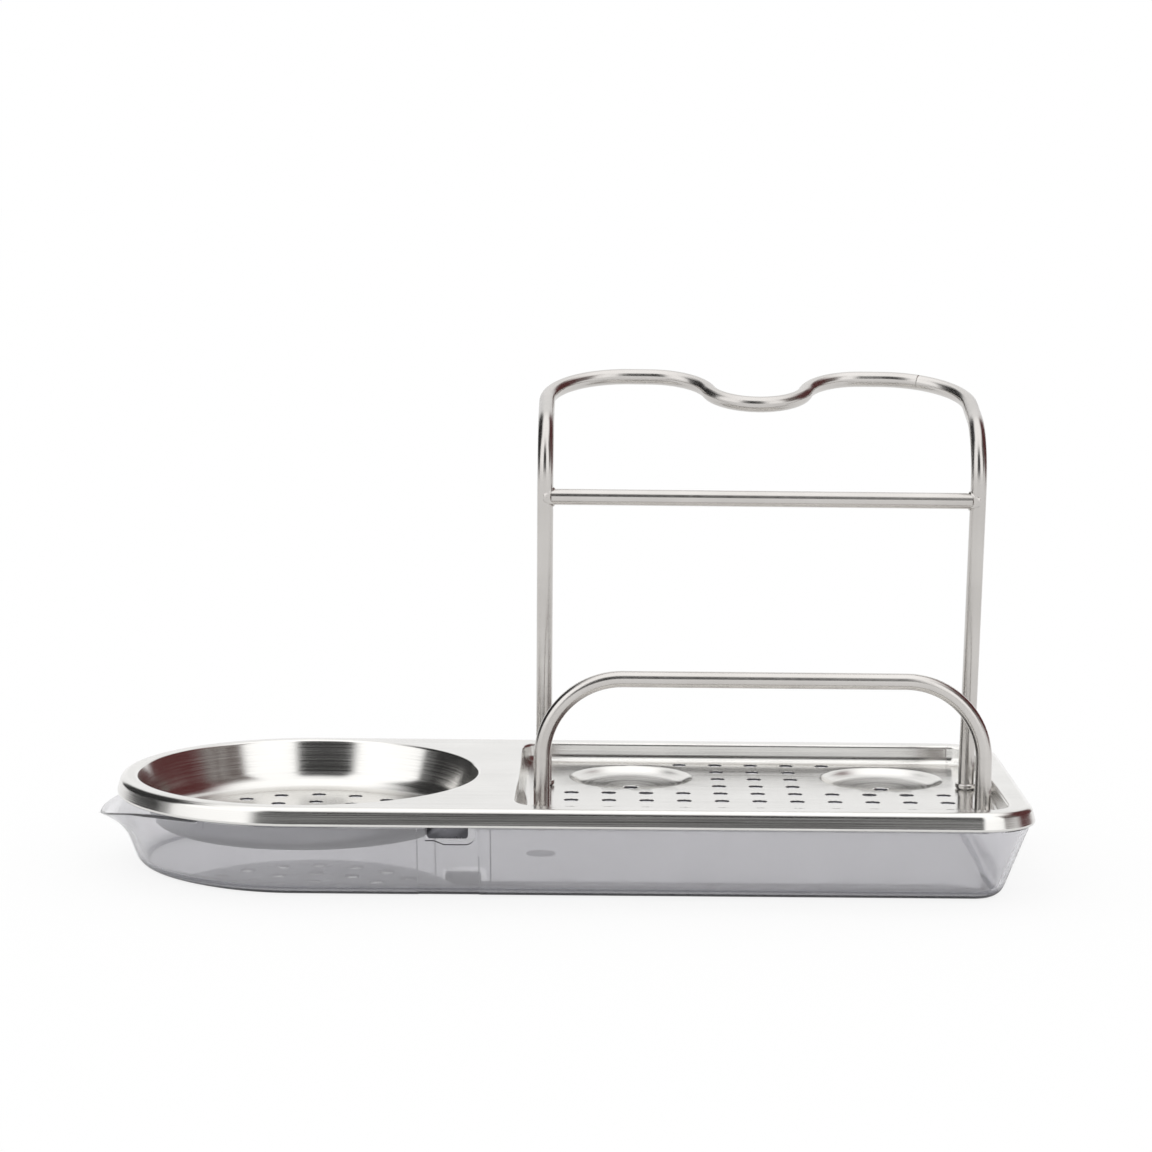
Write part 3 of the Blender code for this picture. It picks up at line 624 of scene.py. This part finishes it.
# %% Drain holes and leg holes
HOLE_RADIUS = 0.0024
HOLE_PITCH = 0.0127
HOLE_EDGE = 0.00015
LEG_BORE = 0.0030
CUP_RADIUS = 0.02105
CUP_DEPTH = 0.0038
CUP_LIP = 0.0006
CUP_ROUND = 0.0050
CUP_Y = 0.0272
CUP_SHIFT, CUP_SPREAD = 0.0012, 0.0438
CUPS = [(RACK_X + CUP_SHIFT + side * CUP_SPREAD, CUP_Y) for side in (-1, 1)]
GRID_X, GRID_Y = RACK_X + 0.0003, -0.0139
GRID_ROWS, GRID_COLUMNS = range(-2, 6), range(-5, 6)
HOLE_TO_CUP = 0.0030


def punch(bm, place, radius, height):
    """A round hole whose edge is drawn down."""
    spin_profile(bm, ((radius + HOLE_EDGE, height), (radius, height - HOLE_EDGE)), place, steps=24)


def grid_places():
    """The square grid of drain holes, left out where the cups and the corners behind them are."""
    places = []
    for row in GRID_ROWS:
        y = GRID_Y + row * HOLE_PITCH
        for column in GRID_COLUMNS:
            x = GRID_X + column * HOLE_PITCH
            near_cup = min(math.dist((x, y), cup) for cup in CUPS) < CUP_RADIUS + HOLE_RADIUS + HOLE_TO_CUP
            behind = y > CUP_Y - CUP_RADIUS and abs(x - GRID_X) > CUP_SPREAD
            if not near_cup and not behind:
                places.append((x, y))
    return places


def ring_places():
    """One hole in the middle of the bowl, and three rings round it."""
    places = [(BOWL_X, 0)]
    for ring in range(1, 4):
        places += arc((BOWL_X, 0), ring * HOLE_PITCH, 90, 450, ring * 6)[:-1]
    return places


for place in grid_places():
    punch(pan, place, HOLE_RADIUS, FLOOR)
for place in ring_places():
    punch(pan, place, HOLE_RADIUS, BOWL_LEVEL)
for x in (LEG_LEFT, LEG_RIGHT):
    for y in (FRONT_LEG_Y, REAR_LEG_Y):
        punch(pan, (x, y), LEG_BORE, FLOOR)
print("holes:", len(grid_places()), "in the recess,", len(ring_places()), "in the bowl")

# %% [markdown]
# The cups are shallow round dishes that blend softly into the floor at their lip. After them, each flat
# part is filled between its outlines, and the sheet is thickened downward. Its underside and the walls of
# its holes were never polished, so Solidify gives them duller finishes, which are also darker as painted
# shade: the underside a little, the hole walls and the rim's cut edge much more.

# %% Thickness and even shading
def thicken(piece, **finishes):
    """Give a pressed sheet its thickness, downward, and its underside and edges the finishes given."""
    add_modifier(piece, "sheet", "SOLIDIFY", thickness=SHEET, offset=-1, use_even_offset=True, **finishes)


def even_shading(piece):
    """Let large flat faces keep flat shading right up to their rounded edges."""
    add_modifier(piece, "even_shading", "WEIGHTED_NORMAL", keep_sharp=True)


# %% Cups and flat parts
def cup_profile(steps=20):
    """A shallow dish from its soft lip down to its drain hole, as (radius, height)."""
    profile = []
    edge = CUP_RADIUS + CUP_LIP
    for step in range(steps + 1):
        share = step / steps
        radius = edge + (HOLE_RADIUS - edge) * share
        lip = min((edge - radius) / CUP_ROUND, 1)
        bowl = math.sqrt(1 - (radius / edge) ** 2)
        profile.append((radius, FLOOR - CUP_DEPTH * bowl * lip * (2 - lip)))
    return profile


for cup in CUPS:
    dish = bmesh.new()
    spin_profile(dish, cup_profile(), cup, steps=64)
    set_grain(dish, round_grain(cup, CUP_RADIUS))
    join_into(pan, dish)
shaped = len(pan.faces)
flat_fill(pan, PAN_TOP)
flat_fill(pan, FLOOR)
flat_fill(pan, BOWL_LEVEL, (BOWL_X, 0), BOWL_MOUTH)
set_grain(pan, lambda point: point.xy, list(pan.faces)[shaped:])
face_out(pan)
if max(pan.faces, key=lambda face: face.calc_area()).normal.z < 0:
    bmesh.ops.reverse_faces(pan, faces=pan.faces)
print("loose edges left:", sum(not edge.link_faces for edge in pan.edges))

steel_pan = keep("pressed_pan", pan, sheet_steel, "rack", "brushed_steel", "top_pan")
# Slots 1 and 2 darken the underside and the hole walls and cut edge: painted shade.
steel_pan.data.materials.append(raw_shaded_steel)
steel_pan.data.materials.append(dark_steel)
thicken(steel_pan, material_offset=1, material_offset_rim=2)
even_shading(steel_pan)

# %% [markdown]
# ## The wires
# A hoop is one wire bent over formers, and a bmesh can be bent the same way: a round section is carried
# straight for each run, and spun round a bend's axis for each bend. A small helper remembers where the
# section is and which way it faces, as a turtle does. That keeps every bend truly round, where a bevelled
# curve would kink.

# %% Wire helper
WIRE = 0.0027
WIRE_SIDES = 32
BEND_STEP = 4.0


class Wire:
    """A wire grown from one end: its section's place and its three directions (side, back, ahead)."""

    def __init__(self, place, turn=Matrix.Identity(3)):
        self.bm = bmesh.new()
        self.place = Vector(place)
        self.turn = turn
        self.length = 0.0
        self.along = self.bm.verts.layers.float.new("along")
        self.around = self.bm.verts.layers.float.new("around")
        matrix = Matrix.Translation(self.place) @ turn.to_4x4()
        made = bmesh.ops.create_circle(
            self.bm, cap_ends=True, segments=WIRE_SIDES, radius=WIRE, matrix=matrix
        )
        for vert in made["verts"]:
            offset = vert.co - self.place
            vert[self.around] = math.atan2(offset.dot(turn.col[1]), offset.dot(turn.col[0])) * WIRE
        self.ring = list(self.bm.edges)

    def take(self, made, length):
        """Note the new section and its distance along the wire."""
        self.length += length
        self.ring = made_of(made["geom_last"], BMEdge)
        for vert in made_of(made["geom_last"], BMVert):
            vert[self.along] = self.length

    def straight(self, length):
        """Carry the section ahead."""
        move = self.turn.col[2] * length
        made = bmesh.ops.spin(
            self.bm, geom=self.ring, cent=self.place, axis=(0, 0, 1), dvec=move, angle=0, steps=1
        )
        self.place = self.place + move
        self.take(made, length)

    def bend(self, axis, radius, degrees):
        """Spin the section round its side axis (0) or its back axis (1), a few degrees at a time."""
        towards = -self.turn.col[1] if axis == 0 else self.turn.col[0]
        centre = self.place + towards * math.copysign(radius, degrees)
        pivot = self.turn.col[axis].copy()
        steps = max(round(abs(degrees) / BEND_STEP), 1)
        angle = math.radians(degrees) / steps
        rotation = Matrix.Rotation(angle, 3, pivot)
        for _ in range(steps):
            made = bmesh.ops.spin(self.bm, geom=self.ring, cent=centre, axis=pivot, angle=angle, steps=1)
            self.place = centre + rotation @ (self.place - centre)
            self.turn = rotation @ self.turn
            self.take(made, abs(angle) * radius)

    def swell(self, factor):
        """Make the section wider or narrower."""
        verts = {vert for edge in self.ring for vert in edge.verts}
        for vert in verts:
            vert.co = self.place + (vert.co - self.place) * factor

    def follow(self, runs):
        """Go through straight runs, given as lengths, and bends, given as (axis, radius, degrees)."""
        for run in runs:
            if isinstance(run, tuple):
                self.bend(*run)
            else:
                self.straight(run)

    def close(self):
        """Close the far end, lay the grain round the section and return the finished shape."""
        bmesh.ops.edgeloop_fill(self.bm, edges=self.ring)
        face_out(self.bm)
        layer = self.bm.loops.layers.uv.new("grain")
        whole = FULL_TURN * WIRE
        for face in self.bm.faces:
            first = face.verts[0][self.around]
            for loop in face.loops:
                around = loop.vert[self.around]
                around -= whole * round((around - first) / whole)
                loop[layer].uv = (around, loop.vert[self.along])
        print("wire", round(self.length, 4), "m long, ends at", [round(value, 4) for value in self.place])
        return self.bm


# %% [markdown]
# The tall hoop leans a little forward, then folds back nearly level. Its top is in line with the pan's back
# edge and dips in the middle, which leaves a loop on each side for a brush handle. The two ends of its wire
# are butted together on the right loop, where the real one shows a small nick.

# %% Rear hoop
LEG_END = PAN_TOP - 0.0120
BEND_START, FOLD_START = 0.0080, 0.1035
LEAN, LEAN_RADIUS = 5.3, 0.0200
FOLD, FOLD_RADIUS = 75.9, 0.0214
CORNER = 0.0284
DIP_HALF_WIDTH, DIP_DEPTH = 0.0372, 0.0294
DIP_TOP_SHARE, DIP_BOTTOM_SHARE = 1.1, 0.9
HOOP_TO_BACK = 0.0003
NICK_PLACE, NICK_DEGREES, NICK_WAIST = 26.8, 0.4, 0.93
lean = math.radians(LEAN)
fold = math.radians(FOLD)


def up_the_leg(height):
    """The leaning run up to a height over the recess floor, and where the wire is in y there."""
    run = (height - BEND_START - LEAN_RADIUS * math.sin(lean)) / math.cos(lean)
    return run, REAR_LEG_Y - LEAN_RADIUS * (1 - math.cos(lean)) - run * math.sin(lean)


rise, leg_y = up_the_leg(FOLD_START)
fold_y = leg_y + FOLD_RADIUS * (math.cos(lean) - math.cos(fold))
reach = (HALF_WIDTH - WIRE - HOOP_TO_BACK - fold_y) / math.sin(fold)
dip_turn = 2 * math.atan(DIP_DEPTH / DIP_HALF_WIDTH)
dip_radius = DIP_HALF_WIDTH / (2 * math.sin(dip_turn))
dip_degrees = math.degrees(dip_turn)
half_span = (LEG_RIGHT - LEG_LEFT) / 2

foot = FLOOR + BEND_START - LEG_END
leg = [foot, (0, LEAN_RADIUS, LEAN), rise, (0, FOLD_RADIUS, -LEAN - FOLD), reach - CORNER]
shoulder = half_span - CORNER - DIP_HALF_WIDTH
dip = [(1, dip_radius * DIP_TOP_SHARE, dip_degrees), (1, dip_radius * DIP_BOTTOM_SHARE, -dip_degrees)]
rear = Wire((LEG_LEFT, REAR_LEG_Y, LEG_END))
rear.follow(leg + [(1, CORNER, 90), shoulder] + dip + dip[::-1] + [shoulder, (1, CORNER, NICK_PLACE)])
for factor in (NICK_WAIST, 1 / NICK_WAIST):
    rear.bend(1, CORNER, NICK_DEGREES)
    rear.swell(factor)
rear.follow([(1, CORNER, 90 - NICK_PLACE - 2 * NICK_DEGREES)] + leg[::-1])
keep("bent_rear_hoop", rear.close(), wire_steel, "rack", "polished_steel_wire", "rear_hoop")

# %% Front hoop
FRONT_HEIGHT = 0.0446
FRONT_CORNER = 0.0263
upright = FLOOR + FRONT_HEIGHT - FRONT_CORNER - LEG_END
front = Wire((LEG_LEFT, FRONT_LEG_Y, LEG_END))
front.follow([upright, (1, FRONT_CORNER, 90), 2 * (half_span - FRONT_CORNER), (1, FRONT_CORNER, 90), upright])
keep("bent_front_hoop", front.close(), wire_steel, "rack", "polished_steel_wire", "front_hoop")

# %% [markdown]
# The cross bar is a straight piece of the same wire, welded between the rear legs. Where it meets a leg,
# the weld shows as a small bright bead that follows the leg's curve. A bead is a thin ring, and each of its
# points is pushed against the round leg.

# %% Cross bar and its weld beads
BAR_LEVEL = 0.1003
BEAD = 0.0006
BAR_Y = up_the_leg(BAR_LEVEL)[1]
BAR_Z = FLOOR + BAR_LEVEL


def make_beads():
    """A ring of weld metal round each end of the bar, shaped to the leg."""
    bm = bmesh.new()
    for side, leg_x in ((1, LEG_LEFT), (-1, LEG_RIGHT)):
        bead = bmesh.new()
        place = Matrix.Translation((leg_x, BAR_Y - WIRE, BAR_Z))
        made = bmesh.ops.create_circle(bead, segments=10, radius=BEAD, matrix=place)
        bmesh.ops.spin(
            bead, geom=made["verts"] + list(bead.edges), cent=(leg_x, BAR_Y, BAR_Z), axis=(1, 0, 0),
            angle=FULL_TURN, steps=28, use_merge=True,
        )
        for vert in bead.verts:
            depth = min(abs(vert.co.y - BAR_Y), WIRE)
            vert.co.x += side * math.sqrt(WIRE * WIRE - depth * depth)
        face_out(bead)
        set_grain(bead, lambda point: (point.y, point.z))
        join_into(bm, bead)
    return bm


inside = WIRE - BEAD
bar_wire = Wire((LEG_LEFT + inside, BAR_Y, BAR_Z), Matrix.Rotation(math.radians(90), 3, "Y"))
bar_wire.straight(LEG_RIGHT - LEG_LEFT - 2 * inside)
keep("cross_wire", bar_wire.close(), wire_steel, "rack", "polished_steel_wire", "cross_bar")
keep("weld_beads", make_beads(), wire_steel, "rack", "polished_steel_wire")

# %% [markdown]
# A turned collar sits on the floor at each leg, with a nut under the floor that pulls it tight. The collar
# is a four-point profile spun round the leg, with its outer corners rounded. The nuts are hidden, and their
# CAD nodes are good as they are.

# %% Collars
COLLAR_RADIUS = 0.0037
COLLAR_HEIGHT = 0.0017
COLLAR_EDGE = 0.0005
COLLAR_BORE = WIRE + 0.0001
COLLAR_FOOT = FLOOR + 0.0003
COLLAR_TOP = COLLAR_FOOT + COLLAR_HEIGHT


def collar_profile():
    """A collar's section as (radius, height), closed at its bore."""
    bend = COLLAR_RADIUS - COLLAR_EDGE
    bore = [(COLLAR_BORE, COLLAR_FOOT), (COLLAR_BORE, COLLAR_TOP)]
    upper = arc((bend, COLLAR_TOP - COLLAR_EDGE), COLLAR_EDGE, 90, 0, 5)
    lower = arc((bend, COLLAR_FOOT + COLLAR_EDGE), COLLAR_EDGE, 0, -90, 5)
    return bore + upper + lower + bore[:1]


for row, y in (("front", FRONT_LEG_Y), ("rear", REAR_LEG_Y)):
    for hand, x in (("left", LEG_LEFT), ("right", LEG_RIGHT)):
        ring = bmesh.new()
        spin_profile(ring, collar_profile(), (x, y), steps=40)
        bmesh.ops.remove_doubles(ring, verts=ring.verts, dist=SNAP)
        face_out(ring)
        set_grain(ring, round_grain((x, y), COLLAR_RADIUS))
        name = f"collar_{row}_{hand}"
        keep(name, ring, wire_steel, "rack", "polished_steel_wire", "leg_" + name)

# %% [markdown]
# ## The drip tray
# The tray is one moulding. Its wall leans in towards the floor, its edge is rounded, and at the round end
# the edge drops and curls out into a pouring lip. That is the same sweep as the rim's, but with a profile
# that changes along the outline. The windows in the long sides and the moulding mark are cut out
# afterwards.

# %% Profile of the tray
TRAY_INSET = 0.0015
TRAY_WALL = 0.0020
TRAY_SKIRT = 0.0055
DRAFT = math.radians(20.8)
TRAY_FILLET = 0.0060
EDGE_RADIUS = 0.0016
LIP_LEVEL = 0.0162
LIP_RISE = 0.0084
NOSE_REACH = 0.0035
LIP_REACH = 0.0080
CURL_HEIGHT = 0.0090
POUR_DEGREES = 60
LIP_DEGREES = 33
CURL_POWER = 2.3
THIN_EDGE = 0.1
EDGE_SHARE, KNEE_SHARE = 0.85, 0.85
PANEL_SET, PANEL_WIDTH = 0.0004, 0.0195
PANEL_RIGHT = RECESS_LEFT - 0.0109
PANEL_LEFT = PANEL_RIGHT - PANEL_WIDTH
NEAR = 0.0001
WALL_STEPS = 10
TRAY_HALF = HALF_WIDTH - TRAY_INSET
TRAY_RADII = (TRAY_HALF - ARC_GAP, PAN_CORNER - TRAY_INSET)
TRAY_PLAN = (PAN_LEFT + TRAY_INSET, PAN_RIGHT - TRAY_INSET, TRAY_HALF, TRAY_RADII)
print("panel from", round(PANEL_LEFT, 4), "to", round(PANEL_RIGHT, 4))


def wall_offset(height):
    """How far the outer wall leans in at a height; the skirt inside the pan's rim leans with the rim."""
    above = height - (TRAY_TOP - TRAY_SKIRT)
    return -math.tan(DRAFT) * max(-above, 0) - math.tan(math.radians(RIM_LEAN)) * max(above, 0)


def hump(turn, half_turn):
    """A smooth hump: 1 straight ahead, 0 at the half turn and beyond."""
    return 0.5 + 0.5 * math.cos(math.pi * min(abs(turn) / half_turn, 1))


def tray_profile(height, nose, curl, set_back):
    """The wall's section as (outward, height): up the outside, over the edge and down the inside."""
    wall = TRAY_WALL / math.cos(DRAFT)
    foot = TRAY_FILLET * (1 - math.sin(DRAFT))
    centre = (wall_offset(foot) - TRAY_FILLET * math.cos(DRAFT), TRAY_FILLET)
    drop = (height - LIP_LEVEL) / (TRAY_TOP - LIP_LEVEL)
    edge = min(EDGE_RADIUS, (wall - set_back) * EDGE_SHARE) * max(drop, THIN_EDGE)
    shoulder = height - edge
    knee = min(TRAY_TOP - TRAY_SKIRT, foot + (shoulder - foot) * KNEE_SHARE)
    levels = [foot + (knee - foot) * step / WALL_STEPS for step in range(1, WALL_STEPS + 1)]
    levels += [(knee + shoulder) / 2, shoulder]
    degrees = math.degrees(DRAFT)
    outer = arc(centre, TRAY_FILLET, -90, -degrees, 8) + [(wall_offset(level), level) for level in levels]
    outer += arc((wall_offset(shoulder) - edge, shoulder), edge, 0, 90, 7)[1:]
    inner = [(wall_offset(height) - wall, height)]
    inner += [(wall_offset(level) - wall, level) for level in reversed(levels)]
    inner += arc(centre, TRAY_FILLET - TRAY_WALL, -degrees, -90, 8)
    section = []
    for offset, level in [(offset - set_back, level) for offset, level in outer] + inner:
        curled = max(1 - (height - level) / CURL_HEIGHT, 0) ** CURL_POWER
        section.append((offset + nose + curl * curled, level))
    return section


def tray_profile_at(point):
    """The section for a point of the outline: with the spout at the round end, set back in the panels."""
    if point.x < BOWL_X:
        turn = math.degrees(math.atan2(abs(point.y), BOWL_X - point.x))
        height = TRAY_TOP
        if turn <= POUR_DEGREES:
            height = LIP_LEVEL + LIP_RISE * math.sin(math.pi / 2 * turn / POUR_DEGREES)
        nose, curl = NOSE_REACH * hump(turn, POUR_DEGREES), LIP_REACH * hump(turn, LIP_DEGREES)
        return tray_profile(height, nose, curl, 0)
    panelled = PANEL_LEFT - NEAR < point.x < PANEL_RIGHT + NEAR
    return tray_profile(TRAY_TOP, 0, 0, PANEL_SET if panelled else 0)


# %% Sweep the tray
panel_cuts = (PANEL_LEFT - PANEL_SET, PANEL_LEFT, PANEL_RIGHT, PANEL_RIGHT + PANEL_SET)
tray = sweep(TRAY_PLAN, tray_profile_at, steps=45, cuts=panel_cuts)
flat_fill(tray, 0.0)
flat_fill(tray, TRAY_WALL)
face_out(tray)
print("tray:", len(tray.faces), "faces, open edges", sum(edge.is_boundary for edge in tray.edges))

# %% [markdown]
# Two windows in the tray's long sides let the pan's bent tabs drop in, so that the rack can't slide. Each
# is a stepped outline pushed through the wall and taken out with a Boolean, and so is the round moulding
# mark under the floor. The Booleans are applied at once, because their cutters aren't part of the object.

# %% Windows and moulding mark
WINDOW_WIDTH = 0.0160
WINDOW_RIGHT = PANEL_RIGHT - 0.0010
WINDOW_LEFT = WINDOW_RIGHT - WINDOW_WIDTH
WINDOW_BOTTOM = TRAY_TOP - 0.0113
WINDOW_CORNER = 0.0033
LEDGE_HEIGHT, LEDGE_END, SLOPE_END = 0.0014, 0.0027, 0.0060
WINDOW_NEAR, WINDOW_FAR = HALF_WIDTH - 0.0120, HALF_WIDTH + 0.0010
OVERSHOOT = 0.002
MARK = (BOWL_X + 0.0789, 0.0075)
MARK_RADII, MARK_DEPTH = (0.00525, 0.00505), 0.0010
TRAY_SHARP = math.radians(30)


def window_shape(side):
    """The window's outline, pushed through one long wall."""
    bm = bmesh.new()
    ledge = WINDOW_BOTTOM + LEDGE_HEIGHT
    shape = [(WINDOW_LEFT, TRAY_TOP + OVERSHOOT), (WINDOW_LEFT, ledge)]
    shape += [(WINDOW_LEFT + LEDGE_END, ledge), (WINDOW_LEFT + SLOPE_END, WINDOW_BOTTOM)]
    shape += arc((WINDOW_RIGHT - WINDOW_CORNER, WINDOW_BOTTOM + WINDOW_CORNER), WINDOW_CORNER, -90, 0, 10)
    shape += [(WINDOW_RIGHT, TRAY_TOP + OVERSHOOT)]
    face = bm.faces.new([bm.verts.new((x, side * WINDOW_NEAR, z)) for x, z in shape])
    moved = made_of(bmesh.ops.extrude_face_region(bm, geom=[face])["geom"], BMVert)
    bmesh.ops.translate(bm, verts=moved, vec=(0, side * (WINDOW_FAR - WINDOW_NEAR), 0))
    face_out(bm)
    return bm


def mark_shape():
    """A shallow disc under the floor, where the mould's gate was."""
    bm = bmesh.new()
    bmesh.ops.create_cone(
        bm, cap_ends=True, segments=48, radius1=MARK_RADII[0], radius2=MARK_RADII[1], depth=MARK_DEPTH,
        matrix=Matrix.Translation((*MARK, 0)),
    )
    return bm


def take_out(piece, shapes, solver, material):
    """Apply Booleans that take closed shapes out of a piece, and shade it again."""
    keeps = {"material_mode": "TRANSFER"} if solver == "EXACT" else {}
    cutters = []
    for shape in shapes:
        cutter = put_in_scene("cutter", mesh_from("cutter", shape))
        cutter.data.materials.append(material)
        add_modifier(piece, "cut", "BOOLEAN", operation="DIFFERENCE", object=cutter, solver=solver, **keeps)
        cutters.append(cutter)
    depsgraph = bpy.context.evaluated_depsgraph_get()
    done = bpy.data.meshes.new_from_object(piece.evaluated_get(depsgraph))
    piece.modifiers.clear()
    piece.data = done
    done.set_sharp_from_angle(angle=TRAY_SHARP)
    for cutter in cutters:
        bpy.data.objects.remove(cutter)
    print("after cutting:", len(done.polygons), "faces")


moulded_tray = keep("moulded_tray", tray, plastic, "tray", "smoky_plastic", "drip_tray")
take_out(moulded_tray, [window_shape(-1), window_shape(1)], "MANIFOLD", plastic)
take_out(moulded_tray, [mark_shape()], "EXACT", gate_shade_plastic)
even_shading(moulded_tray)

# %% [markdown]
# ## Tabs and nuts
# A bent tab under each long side of the pan drops into the tray's window. It is a strip of dark steel with
# its lower corners rounded, bent in an arc and thickened as the pan is. The nuts are hidden under the floor
# and have the right shape already, so their CAD nodes stay and only get a better finish.

# %% Bent tabs
TAB_DROP = 0.0088
TAB_BEND = 0.0012
TAB_CORNER = 0.0010
TAB_CLEAR = 0.0005


def make_tab(low, high, side):
    """A strip bent down at its outer edge, inside the box of its CAD node."""
    bm = bmesh.new()
    face, back = TRAY_HALF - SHEET - TAB_CLEAR, min(abs(low.y), abs(high.y))
    bend = arc((face - TAB_BEND, high.z - TAB_BEND), TAB_BEND, 90, 0, 8)
    path = [(back, high.z)] + bend + [(face, high.z - TAB_DROP)]
    edges = chain(bm, [(low.x, side * y, z) for y, z in path])[1]
    moved = made_of(bmesh.ops.extrude_edge_only(bm, edges=edges)["geom"], BMVert)
    bmesh.ops.translate(bm, verts=moved, vec=(high.x - low.x, 0, 0))
    corners = [vert for vert in bm.verts if vert.co.z < high.z - TAB_DROP + NEAR]
    bmesh.ops.bevel(
        bm, geom=corners, affect="VERTICES", offset=TAB_CORNER, segments=5, profile=0.5, material=-1
    )
    face_out(bm)
    if max(bm.faces, key=lambda face: face.normal.z ** 2).normal.z < 0:
        bmesh.ops.reverse_faces(bm, faces=bm.faces)
    return bm


for place, side in (("front", -1), ("back", 1)):
    node = "locating_tab_" + place
    tab = make_tab(*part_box(node), side)
    thicken(keep("bent_tab_" + place, tab, dark_steel, "rack", "brushed_steel", node))

# %% Finish on the CAD nuts
for name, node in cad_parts.items():
    if name.startswith("leg_nut"):
        node.data.materials.clear()
        node.data.materials.append(raw_shaded_steel)
        print("finished", name)

# %% [markdown]
# ## Studio
# The photograph has a white floor and background, and soft white light from above. What makes polished
# steel look like steel is what it reflects, so in reflections the world is a studio: white boxes to the
# front's left and right, dark gaps beside them, a dim brown wall to the right, a light wall behind, a
# white ceiling, and light low down in front. The camera and the clear plastic see plain white instead.

# %% Floor
SEEN_WHITE = 0.86
MIRRORED_WHITE = 0.2
THROUGH_WHITE = 0.2
FLOOR_HALF, FLOOR_LEVEL = 15.0, -0.0001


def add_up(nodes, link, first, second, factor):
    """First plus second times a factor, all as a node and the name of its output."""
    node = add_node(nodes, "Math", {1: factor}, operation="MULTIPLY_ADD")
    link(*second, node, 0)
    link(*first, node, 2)
    return node, "Value"


def make_paper():
    """White paper that keeps the object's shadow. Part of its white is its own, by what looks at it."""
    material, nodes, link, shader = start_material("white_paper")
    set_inputs(shader, {"Base Color": (1, 1, 1, 1), "Roughness": 1.0, "Specular IOR Level": 0.0})
    own = add_node(nodes, "Emission")
    rays = add_node(nodes, "LightPath")
    seen = add_node(nodes, "Math", {1: SEEN_WHITE}, operation="MULTIPLY")
    link(rays, "Is Camera Ray", seen, 0)
    part = add_up(nodes, link, (seen, "Value"), (rays, "Is Glossy Ray"), MIRRORED_WHITE)
    part = add_up(nodes, link, part, (rays, "Is Transmission Ray"), THROUGH_WHITE)
    mix = add_node(nodes, "MixShader")
    link(*part, mix, "Fac")
    link(shader, "BSDF", mix, 1)
    link(own, "Emission", mix, 2)
    link(mix, "Shader", nodes["Material Output"], "Surface")
    return material


floor_bm = bmesh.new()
under_tray = Matrix.Translation((0, 0, FLOOR_LEVEL))
bmesh.ops.create_grid(floor_bm, x_segments=1, y_segments=1, size=FLOOR_HALF, matrix=under_tray)
floor = put_in_scene("floor", mesh_from("floor", floor_bm))
floor.data.materials.append(make_paper())
print("floor is", floor.dimensions.x, "m wide")

# %% World
STUDIO_STRENGTH = 1.5
CEILING = (0.70, 0.92)
HORIZON = (0.33, 0.12)
FRONT_HALF = (-0.15, 0.15)
WHITE, LIGHT, DARK = (1.0, 1.0, 1.0), (0.71, 0.71, 0.71), (0.02, 0.02, 0.02)
DIM, BROWN = (0.11, 0.09, 0.085), (0.075, 0.022, 0.022)


def ramp(nodes, stops):
    """A colour ramp through stops of (position, colour)."""
    node = add_node(nodes, "ValToRGB")
    elements = node.color_ramp.elements
    elements.remove(elements[-1])
    for index, (position, colour) in enumerate(stops):
        element = elements.new(position) if index else elements[0]
        element.position = position
        element.color = (*colour, 1)
    return node


def around(degrees):
    """A direction round the object as a share of the full turn: 0 is to the camera, right is positive."""
    return 0.5 + degrees / 360


def make_world():
    """Plain white, except in reflections, which show a studio."""
    world = bpy.data.worlds.new("studio")
    world.use_nodes = True
    nodes, link = world.node_tree.nodes, linker(world.node_tree)
    place = add_node(nodes, "TexCoord")
    parts = add_node(nodes, "SeparateXYZ")
    front = add_node(nodes, "Math", {1: -1}, operation="MULTIPLY")
    turn = add_node(nodes, "Math", operation="ARCTAN2")
    share = add_node(nodes, "MapRange", {"From Min": -math.pi, "From Max": math.pi})
    room = ramp(nodes, (
        (around(-152), LIGHT), (around(-146), DARK), (around(-88), DARK), (around(-84), WHITE),
        (around(-33), WHITE), (around(-27), DARK), (around(12), DARK), (around(16), WHITE),
        (around(53), WHITE), (around(58), DIM), (around(86), DIM), (around(92), BROWN),
        (around(142), BROWN), (around(150), LIGHT),
    ))
    ahead = add_node(nodes, "MapRange", {"From Min": FRONT_HALF[0], "From Max": FRONT_HALF[1]})
    link(place, "Generated", parts, "Vector")
    link(parts, "Y", front, 0)
    link(parts, "X", turn, 0)
    link(front, "Value", turn, 1)
    link(turn, "Value", share, "Value")
    link(share, "Result", room, "Fac")
    link(front, "Value", ahead, "Value")

    seen = (room, "Color")
    for colour, start, end in ((WHITE, *CEILING), (LIGHT, *HORIZON)):
        band = {"From Min": start, "From Max": end}
        height = add_node(nodes, "MapRange", band, interpolation_type="SMOOTHSTEP")
        if colour == LIGHT:
            link(ahead, "Result", height, "To Max")
        mix = add_node(nodes, "Mix", {"B": (*colour, 1)}, data_type="RGBA")
        link(parts, "Z", height, "Value")
        link(height, "Result", mix, "Factor")
        link(*seen, mix, "A")
        seen = (mix, "Result")

    rays = add_node(nodes, "LightPath")
    plain = add_node(nodes, "Mix", {"A": (*WHITE, 1)}, data_type="RGBA")
    strength = add_node(nodes, "MapRange", {"To Min": 1.0, "To Max": STUDIO_STRENGTH})
    background = nodes["Background"]
    link(rays, "Is Glossy Ray", plain, "Factor")
    link(*seen, plain, "B")
    link(plain, "Result", background, "Color")
    link(rays, "Is Glossy Ray", strength, "Value")
    link(strength, "Result", background, "Strength")
    return world


bpy.context.scene.world = make_world()
bpy.context.scene.view_settings.view_transform = "Standard"
print("world:", bpy.context.scene.world.name)
